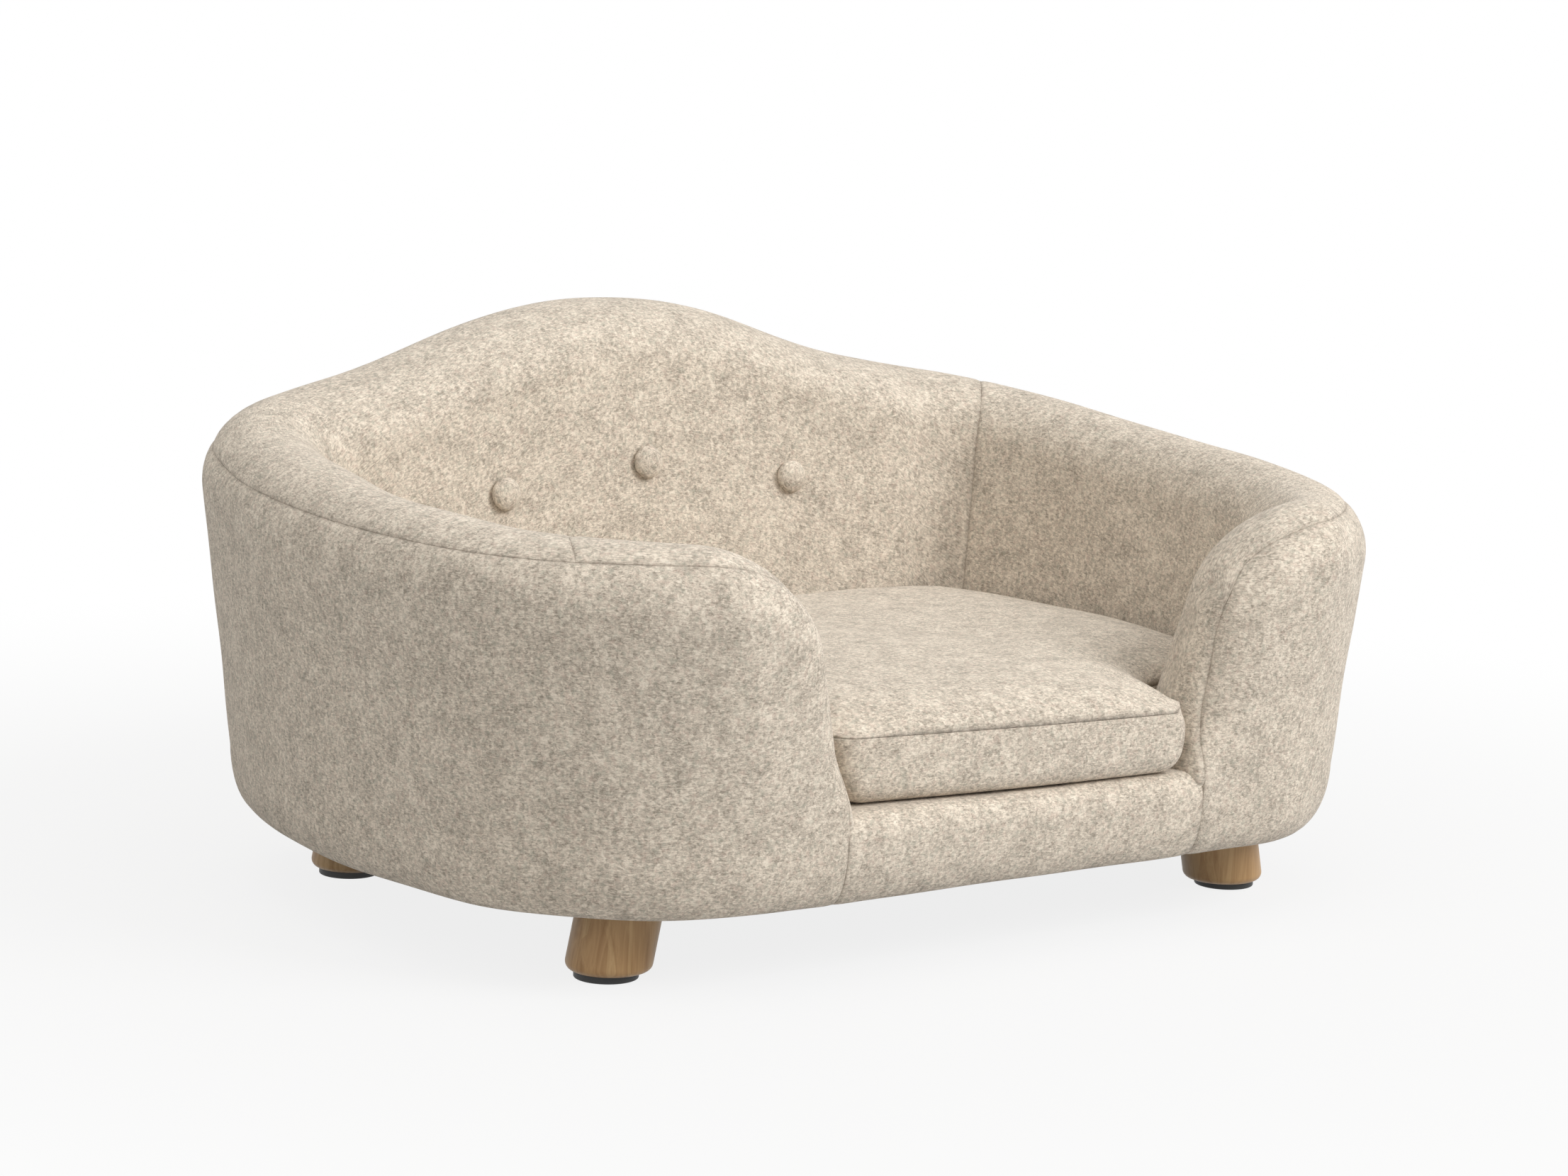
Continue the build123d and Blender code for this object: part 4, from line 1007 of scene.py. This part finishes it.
def arm_end_padding(name, side, node):
    """Solid foam in an arm's end: the skin round the tip at an inset, closed by a flat back."""
    path = side * (HALF_PATH - np.linspace(ARM_FOAM_START, TIP - FOAM_PLAY, 12)[None, :])
    base = [place(path, LEAN * (height - BODY_BOTTOM) - BOARD_OUT + FOAM_PLAY, height + 0 * path)
            for height in (BOARD_TOP + FOAM_PLAY, UNDER + FOAM_FOOT)]
    foam_piece(name, [foam_skin(path), *base], side < 0, node)


arm_end_padding("left_arm_end_padding", -1, "left_arm_end_foam")
arm_end_padding("right_arm_end_padding", 1, "right_arm_end_foam")


def rail_padding():
    """Foam along the front rail: the rail's section at an inset, carried straight between the arms."""
    bend = np.radians(np.linspace(0, 90, 10))
    low_out = EDGE_OUT - FOAM_INSET
    low_z = UNDER + FOAM_INSET
    top_z = DECK_TOP - FOAM_INSET
    out = np.concatenate([
        -EDGE_INSET + (low_out + EDGE_INSET) * np.sin(bend),
        RAIL_TOP_OUT + (low_out - RAIL_TOP_OUT) * np.cos(bend),
        [RAIL_FOAM_BACK, RAIL_FOAM_BACK, -BOARD_OUT + FOAM_PLAY, -BOARD_OUT + FOAM_PLAY],
    ])
    height = np.concatenate([
        low_z + (EDGE_TOP - low_z) * (1 - np.cos(bend)),
        EDGE_TOP + (top_z - EDGE_TOP) * np.sin(bend),
        [top_z, BOARD_TOP + FOAM_PLAY, BOARD_TOP + FOAM_PLAY, low_z],
    ])
    x = np.linspace(-RAIL_FOAM_HALF, RAIL_FOAM_HALF, 30)[None, :]
    foam_piece("front_rail_padding", [across_front(x, out, height)], False, "front_rail_foam")


rail_padding()

LOOP_PATH = np.linspace(-FULL_WALL, FULL_WALL, 240)


def inner_wall(gap):
    """Distance outwards of the wall's inner face at the deck."""
    return DECK_OUT - 2 * ARM_HALF / LEAN_COS - thickening(gap)


def tub_loop(out):
    """Plan outline at a distance outwards, closed by a straight line across the front."""
    loop = place(LOOP_PATH, out + 0 * LOOP_PATH, BODY_BOTTOM + 0 * LOOP_PATH)[:, :2]
    front = np.linspace(0, 1, 30)[1:-1, None]
    return np.concatenate([loop, loop[-1] + (loop[0] - loop[-1]) * front])


def rings(loop, centre, shares, heights):
    """Grid of a loop drawn towards a centre: each ring has a share of its size and a height."""
    plan = centre + (loop - centre)[None] * shares[:, None, None]
    return np.concatenate([plan, (heights[:, None] + 0 * plan[..., 0])[..., None]], -1)


def flat_piece(name, out, height, levels, material, node):
    """Thin layer inside the tub's outline, from levels of (share of the outline, distance above a height)."""
    shares, rises = np.transpose(levels)
    grid = rings(tub_loop(out), np.array([0.0, 0.0]), shares, height + rises)
    piece = make_piece(name, [seamless(grid, True, True)], material)
    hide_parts(node)
    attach(piece, "tub")
    return piece


# Layers inside the tub, from the middle of the underside, round the edge, to the middle of the upper side
DECK_COVER_LEVELS = [(0.0, -1.4), (0.5, -1.4), (0.999, -1.5), (1.0, -1.1), (0.995, -0.1), (0.97, -0.05),
                     (0.8, -0.2), (0.5, -0.4), (0.0, -0.5)]
DECK_FOAM_LEVELS = [(0.0, 0.6), (0.98, 0.6), (0.995, 1.7), (1.0, 4.2), (0.995, 7.8), (0.98, 9.4), (0.0, 9.6)]
DUST_COVER_LEVELS = [(0.0, -0.7), (0.5, -0.5), (0.9, -0.2), (0.985, 0.0), (1.0, 0.4), (0.985, 0.8),
                     (0.0, 0.6)]

inner_loop = inner_wall(gap_of(tip_distance(LOOP_PATH)))
flat_piece("deck_cover_felt", inner_loop - DECK_COVER_PLAY, DECK_TOP, DECK_COVER_LEVELS, tub_felt,
           "deck_cloth")
deck_padding = flat_piece("deck_padding", inner_loop - FOAM_PLAY, BOARD_TOP, DECK_FOAM_LEVELS, foam,
                          "deck_foam")
flat_piece("dust_cover_lining", -DUST_COVER_INSET, BODY_BOTTOM, DUST_COVER_LEVELS, dust_lining,
           "dust_cover")

# Loose cushion: its plan, with a gap to the tub all round
CUSHION_GAP = 3.0
CUSHION_BACK_GAP = 12.5
CUSHION_SETBACK = 15.0
CUSHION_BACK_HALF = 118.0
CUSHION_BACK_Y = BACK_Y + inner_wall(HALF_PATH) - CUSHION_BACK_GAP
CUSHION_FRONT_Y = FRONT_Y - DECK_OUT + CUSHION_SETBACK
CUSHION_MIDDLE = np.array([0.0, (FRONT_Y + BACK_Y) / 2])
CUSHION_POINTS = 420
CORNER_R = 12.0
BOW = 3.0
NOSE_SIDE = OPENING_HALF_WIDTH + ARM_END_LEAN * (DECK_TOP - BODY_BOTTOM) - CUSHION_GAP
FLARE_START = 150.0
FLARE_END = 215.0
# its section: underside, seams, the crown above them, the rounded foot, and the foam core inside
CUSHION_LOW = 92.5
LOWER_SEAM = 94.0
UPPER_SEAM = 128.5
CROWN = 21.0
CROWN_POWER = 8.0
CROWN_FOOT = 0.3
TOP_RUN = 215.0
BAND_BULGE = 0.35
BAND_ROUND = 11.0
BAND_STEP = 2.5
SOLE_FLAT = 15.0
SOLE_ROUND = 12.0
SOLE_LIFT = 0.4
CORE_LIFT = 1.8
CORE_INSET = 6.5
CORE_DROP = 3.0
CORE_SLACK = 0.5
# how far its seams pull it in, how far that reaches, and how faintly the painted shade along them is drawn
SEAM_PULL = 0.1
TOP_PULL_REACH = 3.0
BAND_PULL_REACH = 2.5
SOLE_PULL = 6.0
HIDDEN_SEAM = 9.0
FAINT = 0.7
# soft front corners, which bulge out in front of the arms' ends and sink below the crown
EAR = 12.0
EAR_HIDDEN = 0.35
EAR_Y = FRONT_Y + 26.0
EAR_RUN = 11.0
EAR_MIDDLE = 0.35
EAR_SPAN = 0.66
EAR_TRIM = 0.9
CORNER_SINK = 6.0
CORNER_SPREAD = 34.0
CORNER_RISE = 10.0
# it slumps towards the right in front, and lies a little askew, its right front corner further out
SLUMP = 1.2
SLUMP_RUN = 70.0
ASKEW = 8.0
ASKEW_OUT = 3.0
ASKEW_Y = FRONT_Y + 64.0
ASKEW_RUN = 40.0


def cushion_outline():
    """Plan of the cushion: it keeps a gap from the tub's inner faces and reaches out between the arm ends.

    Arcs and lines are joined and then divided into equal lengths.
    """
    offset = inner_wall(0.0) - CUSHION_GAP
    shoulder_y = FRONT_Y - offset
    hollow_r = ARM_HALF + CUSHION_GAP
    hollow_x = OPENING_HALF_WIDTH + ARM_END_LEAN * (DECK_TOP - BODY_BOTTOM) + ARM_HALF
    neck_x = hollow_x - hollow_r
    along = np.linspace(STRAIGHT, BACK_CORNER_START + ARC_LENGTHS[2], 90)
    x, y, nx, ny, _ = station(along)
    beside = inner_wall(along) - CUSHION_GAP

    def arc(x, y, radius, first, last):
        """Points of an arc about a centre, between two angles."""
        angle = np.linspace(first, last, 24)
        return np.stack([x + radius * np.cos(angle), y + radius * np.sin(angle)], -1)

    bow_x = np.linspace(0, 1, 20)[:, None]
    front = np.concatenate([bow_x * (neck_x - CORNER_R), CUSHION_FRONT_Y - BOW * (1 - bow_x ** 2)], 1)
    right = np.concatenate([
        front,
        arc(neck_x - CORNER_R, CUSHION_FRONT_Y + CORNER_R, CORNER_R, -np.pi / 2, 0.0),
        arc(hollow_x, shoulder_y - hollow_r, hollow_r, np.pi, np.pi / 2),
        np.stack([x + nx * beside, y + ny * beside], -1),
        np.array([[CUSHION_BACK_HALF, CUSHION_BACK_Y], [0.0, CUSHION_BACK_Y]]),
    ])
    left = right[::-1] * np.array([-1.0, 1.0])
    loop = np.concatenate([right, left[1:]])
    run = np.concatenate([[0], np.linalg.norm(np.diff(loop, axis=0), axis=1).cumsum()])
    even = np.linspace(0, run[-1], CUSHION_POINTS + 1)[:-1]
    return np.stack([np.interp(even, run, loop[:, 0]), np.interp(even, run, loop[:, 1])], -1)


def loop_normals(loop):
    """Outward unit normals of a closed anticlockwise loop, from the points three before and three after."""
    along = np.roll(loop, -3, 0) - np.roll(loop, 3, 0)
    normal = np.stack([along[:, 1], -along[:, 0]], -1)
    return normal / np.linalg.norm(normal, axis=1, keepdims=True)


CUSHION_LOOP = cushion_outline()
CUSHION_NORMALS = loop_normals(CUSHION_LOOP)


def cushion_rings(levels):
    """Rings of the cushion: each level is (share of its size, distance outwards, height).

    Between the arms it widens with height as far as their ends lean apart, which dies away along its
    shoulders. Its front corners bulge along an ellipse over the height, and the crown sinks there along a
    bell curve. Its front slumps by a share of x, and is sheared outwards by a share of x.
    """
    shares, out, heights = np.transpose(levels)
    grid = rings(CUSHION_LOOP, CUSHION_MIDDLE, shares, heights)
    grid[..., :2] += CUSHION_NORMALS[None] * out[:, None, None]
    x, y = CUSHION_LOOP.T
    flare = 1 - smooth((np.abs(x) - FLARE_START) / (FLARE_END - FLARE_START))
    beside = np.clip(np.abs(x) / NOSE_SIDE, 0, 1) * flare * (y < CUSHION_MIDDLE[1]) * np.sign(x)
    rise = np.clip(grid[..., 2] - DECK_TOP, 0, UPPER_SEAM - DECK_TOP)
    share_up = rise / (UPPER_SEAM - DECK_TOP)
    bulge = np.sqrt(1 - ((share_up - EAR_MIDDLE) / EAR_SPAN) ** 2) - EAR_TRIM
    ear = EAR * smooth((EAR_Y - y) / EAR_RUN)[None] * bulge * shares[:, None]
    ear = ear * np.where(x > 0, 1.0, EAR_HIDDEN)
    grid[..., 0] += beside[None] * (ARM_END_LEAN * rise * shares[:, None] + ear)
    rightwards = np.clip(grid[..., 0] / NOSE_SIDE, -1, 1)
    slump = SLUMP * rightwards * smooth((EAR_Y + SLUMP_RUN - grid[..., 1]) / SLUMP_RUN)
    grid[..., 2] -= slump * smooth(share_up)
    grid[..., 1] -= (ASKEW_OUT + ASKEW * rightwards) * smooth((ASKEW_Y - grid[..., 1]) / ASKEW_RUN)
    corner = np.hypot(np.abs(grid[..., 0]) - NOSE_SIDE, grid[..., 1] - CUSHION_FRONT_Y)
    sink = CORNER_SINK * np.exp(-(corner / CORNER_SPREAD) ** 2)
    grid[..., 2] -= sink * smooth((grid[..., 2] - UPPER_SEAM) / CORNER_RISE)
    return grid


def cushion_panel(name, levels, seam_distance, node, uneven=0.0):
    """Panel of the cushion's cover from its rings, made uneven by moving it up and down."""
    grid = cushion_rings(levels)
    distance = np.broadcast_to(np.array(seam_distance)[:, None], grid.shape[:2]) + FAINT
    calm = 1 - np.exp(-distance / CUSHION_CALM_REACH)
    grid[..., 2] += unevenness(grid * np.array([1, 1, 0]), uneven) * calm
    piece = make_piece(name, [(grid, distance, False, True)], cushion_felt, cloth=CLOTH)
    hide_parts(node)
    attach(piece, "cushion")


# Seam allowances, turned in at the upper and the lower seam
upper_allowance = (1.0, -SEAM_PULL - TURN_IN, UPPER_SEAM)
lower_allowance = (1.0, -SOLE_PULL - TURN_IN, LOWER_SEAM)

# Top panel: the crown is a superellipse over the distance in from the upper seam
top_steps = np.array([0.0, 0.8, 1.7, 3.0, 4.8, 7.0, 10.0, 14.0, 19.0, 26.0, 35.0, 46.0, 60.0, 80.0,
                      105.0, 135.0, 170.0, 205.0, TOP_RUN])
top_shares = 1 - top_steps / TOP_RUN
top_out = -SEAM_PULL * np.exp(-top_steps / TOP_PULL_REACH)
top_heights = UPPER_SEAM + CROWN_FOOT + (CROWN - CROWN_FOOT) * np.sqrt(1 - top_shares ** CROWN_POWER)
top_levels = [upper_allowance, *zip(top_shares, top_out, top_heights)]
cushion_panel("cushion_top_felt", top_levels, [0.0, *top_steps], "cushion_top_panel", CUSHION_PUFF)

# Band: a rounded foot, then straight up to the upper seam, which pulls it in
band_height = UPPER_SEAM - LOWER_SEAM
straight_height = band_height - BAND_ROUND
foot_rise = BAND_ROUND * (1 - np.cos(np.radians(np.linspace(0, 90, 9))))
straight_rise = BAND_ROUND + straight_height * spread(straight_height, BAND_STEP, last=True)
band_rise = np.concatenate([foot_rise[:-1], straight_rise])
band_foot = 1 - np.sqrt(1 - np.clip(1 - band_rise / BAND_ROUND, 0, 1) ** 2)
band_out = BAND_BULGE - (BAND_BULGE + SOLE_PULL) * band_foot
band_out -= (BAND_BULGE + SEAM_PULL) * np.exp((band_rise - band_height) / BAND_PULL_REACH)
band_levels = [(1.0, out, LOWER_SEAM + rise) for out, rise in zip(band_out, band_rise)]
band_distance = np.minimum(band_rise + HIDDEN_SEAM, band_height - band_rise)
cushion_panel("cushion_band_felt", [lower_allowance, *band_levels, upper_allowance],
              [HIDDEN_SEAM, *band_distance, 0.0], "cushion_band")

# Sole: flat, with an elliptic turn up to the lower seam
sole_bend = np.radians(np.linspace(0, 90, 10))
sole_out = -SOLE_ROUND + (SOLE_ROUND - SOLE_PULL) * np.sin(sole_bend)
sole_heights = LOWER_SEAM - (LOWER_SEAM - CUSHION_LOW) * np.cos(sole_bend)
sole_levels = [(0.0, 0.0, CUSHION_LOW + SOLE_LIFT), (0.5, 0.0, CUSHION_LOW), (0.9, 0.0, CUSHION_LOW),
               (1.0, -SOLE_FLAT, CUSHION_LOW)]
sole_levels += [(1.0, out, height) for out, height in zip(sole_out, sole_heights)]
sole_distance = [NO_SEAM, NO_SEAM, 30.0, 12.0, *np.linspace(8, HIDDEN_SEAM, len(sole_bend)), HIDDEN_SEAM]
cushion_panel("cushion_bottom_felt", [*sole_levels, lower_allowance], sole_distance, "cushion_bottom_panel")

# Foam core: inset all round, with the crown's curve a little below the cloth
core_base = CUSHION_LOW + CORE_LIFT
core_levels = [(0.0, 0.0, core_base), (0.9, 0.0, core_base), (1.0, -16.0, core_base + 0.3),
               (1.0, -9.5, core_base + 3.7), (1.0, -CORE_INSET, core_base + 13.7),
               (1.0, -CORE_INSET, UPPER_SEAM - CORE_SLACK)]
core_low = UPPER_SEAM - CORE_DROP
core_crown = CROWN - CORE_SLACK
core_levels += [(share, -CORE_INSET, core_low + core_crown * np.sqrt(1 - share ** CROWN_POWER))
                for share in (0.995, 0.985, 0.96, 0.92, 0.8, 0.6, 0.3)]
core_levels += [(0.0, 0.0, core_low + core_crown)]
core = make_piece("cushion_core_padding", [seamless(cushion_rings(core_levels), False, True)], foam)
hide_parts("cushion_core")
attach(core, "cushion")


def covered_button(name, spot, node):
    """Cloth-covered button: a dome turned about its axis, which stands square on the back's inner face.

    Its radius is a power of the cosine of the sweep, with shallow gathers that deepen towards its rim.
    """
    lean = np.arctan2(spot[0], spot[1] - (BACK_Y - BACK_R))
    axis = np.array([-np.sin(lean) * LEAN_COS, -np.cos(lean) * LEAN_COS, LEAN_SIN])
    side = np.cross(axis, [0.0, 0.0, 1.0])
    side /= np.linalg.norm(side)
    up = np.cross(side, axis)
    sweep = np.radians(np.linspace(90, -80, 26))[:, None]
    turn = np.linspace(0, 2 * np.pi, 60, endpoint=False)[None, :]
    rim = smooth((90 - np.degrees(sweep)) / 90)
    gathers = 1 + GATHER_DEPTH * rim * np.cos(GATHERS * turn + 2 * np.sin(3 * turn))
    radius = BUTTON_R * np.cos(sweep) ** BUTTON_POWER * gathers
    height = np.where(sweep > 0, BUTTON_FRONT, BUTTON_BACK) * np.sin(sweep) - BUTTON_SINK
    points = spot + side * (radius * np.cos(turn))[..., None] + up * (radius * np.sin(turn))[..., None]
    points = points + axis * (height + 0 * turn)[..., None]
    piece = make_piece(name, [seamless(points, False, True)], tub_felt)
    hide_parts(node)
    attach(piece, "tub")


for button, spot in zip(BUTTONS, BUTTON_SPOTS):
    covered_button(button + "_felt", spot, button)

# Carried-over nodes get their finishes
finishes = {
    leg_wood: ["leg_front_left", "leg_front_right", "leg_back_left", "leg_back_right"],
    glide_plastic: ["glide_front_left", "glide_front_right", "glide_back_left", "glide_back_right"],
    board_wood: ["base_board", "deck_board", "front_rail", "rear_rail", "left_rail", "right_rail",
                 "centre_rail", "left_wall_panel", "back_wall_panel", "right_wall_panel", "front_panel"],
    plated_steel: ["wall_screws", "button_washers", "leg_bolts", "tee_nuts", "glide_screws"],
    tie_cord: ["button_ties"],
    zip_cloth: ["zip_tape"],
    zip_coil: ["zip_teeth"],
    zip_nickel: ["zip_slider"],
}
for material, names in finishes.items():
    for name in names:
        nodes[name].data.materials.clear()
        nodes[name].data.materials.append(material)

# Studio, in metres: the floor's own glow turns to white further from the object, which keeps its shadow
FLOOR_HALF = 9
GLOW_NEAR = 0.84
FADE_START = 0.35
FADE_END = 1.1
WORLD_LIGHT = 0.48
LAMP_TARGET = (0.0, 0.0, 0.15)
# name, place, side of the square and watts
LAMPS = [
    ("key softbox", (1.5, -2.6, 2.3), 1.8, 92.0),
    ("overhead softbox", (-0.5, -0.2, 2.9), 2.4, 22.0),
    ("left softbox", (-2.4, -1.2, 1.9), 1.6, 9.0),
]
# Camera, from a fit of the photograph's perspective: its axes in the room, its place and its lens
RIGHT = (0.80646, -0.59042, 0.03203)
UP = (0.0669, 0.14492, 0.98718)
BACK = (-0.58749, -0.79398, 0.15637)
POSITION = (-1.3409, -1.8098, 0.5285)
SENSOR_WIDTH = 36.0
LENS = 89.0227


def direct_rays(holder):
    """1 on rays from the camera, seen straight, in a mirror or through glass, and 0 on the rest."""
    ray = add(holder, "LightPath").outputs
    shown = add(holder, "Math", [(0, ray["Is Camera Ray"]), (1, ray["Is Glossy Ray"])], operation="MAXIMUM")
    shown = add(holder, "Math", [(0, shown.outputs[0]), (1, ray["Is Transmission Ray"])], operation="MAXIMUM")
    return shown.outputs[0]


def stand(thing, right, up, back, position):
    """Object linked to the scene, with its axes and its place as the columns of its matrix."""
    turn = np.eye(4)
    turn[:3] = np.stack([right, up, back, position], 1)
    thing.matrix_world = Matrix(turn.tolist())
    bpy.context.scene.collection.objects.link(thing)


def studio_floor():
    """Matt white floor that also glows on direct rays, so that it runs out to white."""
    material, shader = new_material("matt white studio floor")
    connect(material, shader, [("Base Color", linear("#C4C4C4")), ("Roughness", 1.0)])
    spot = add(material, "TexCoord").outputs["Object"]
    away = add(material, "VectorMath", [(0, spot)], operation="LENGTH")
    fade = add(material, "MapRange", [(0, away.outputs["Value"]), (1, FADE_START), (2, FADE_END),
                                      (3, GLOW_NEAR), (4, 1.0)], interpolation_type="SMOOTHSTEP")
    share = add(material, "Math", [(0, direct_rays(material)), (1, fade.outputs[0])], operation="MULTIPLY")
    glow = add(material, "Emission", [("Color", (1, 1, 1, 1)), ("Strength", 1.0)])
    mixer = add(material, "MixShader", [(0, share.outputs[0]), (1, shader.outputs[0]), (2, glow.outputs[0])])
    connect(material, material.node_tree.nodes["Material Output"], [("Surface", mixer.outputs[0])])
    mesh = bpy.data.meshes.new("studio floor")
    corners = [(x * FLOOR_HALF, y * FLOOR_HALF, 0) for x, y in ((-1, -1), (1, -1), (1, 1), (-1, 1))]
    mesh.from_pydata(corners, [], [(0, 1, 2, 3)])
    mesh.materials.append(material)
    floor = bpy.data.objects.new("studio_floor", mesh)
    bpy.context.scene.collection.objects.link(floor)


def soft_world():
    """Even, slightly warm light on the object, and plain white on direct rays."""
    world = bpy.data.worlds.new("soft studio")
    world.use_nodes = True
    bpy.context.scene.world = world
    direct = direct_rays(world)
    level = add(world, "MapRange", [(0, direct), (3, WORLD_LIGHT), (4, 1.0)])
    tint = blended(world, direct, linear("#FFFCF6"), (1.0, 1.0, 1.0, 1.0))
    backdrop = world.node_tree.nodes["Background"]
    connect(world, backdrop, [("Strength", level.outputs[0]), ("Color", tint)])


def soft_lamp(name, position, size, watts):
    """Square softbox at a position, turned to the object."""
    light = bpy.data.lights.new(name, "AREA")
    light.size = size
    light.energy = watts
    away = np.array(position) - np.array(LAMP_TARGET)
    away = away / np.linalg.norm(away)
    side = np.cross([0.0, 0.0, 1.0], away)
    side /= np.linalg.norm(side)
    stand(bpy.data.objects.new(name, light), side, np.cross(away, side), away, position)


studio_floor()
soft_world()
for lamp in LAMPS:
    soft_lamp(*lamp)
view = bpy.data.cameras.new("photo view")
view.sensor_width = SENSOR_WIDTH
view.lens = LENS
camera = bpy.data.objects.new("photo_view", view)
stand(camera, RIGHT, UP, BACK, POSITION)
bpy.context.scene.camera = camera
bpy.context.scene.view_settings.view_transform = "Standard"
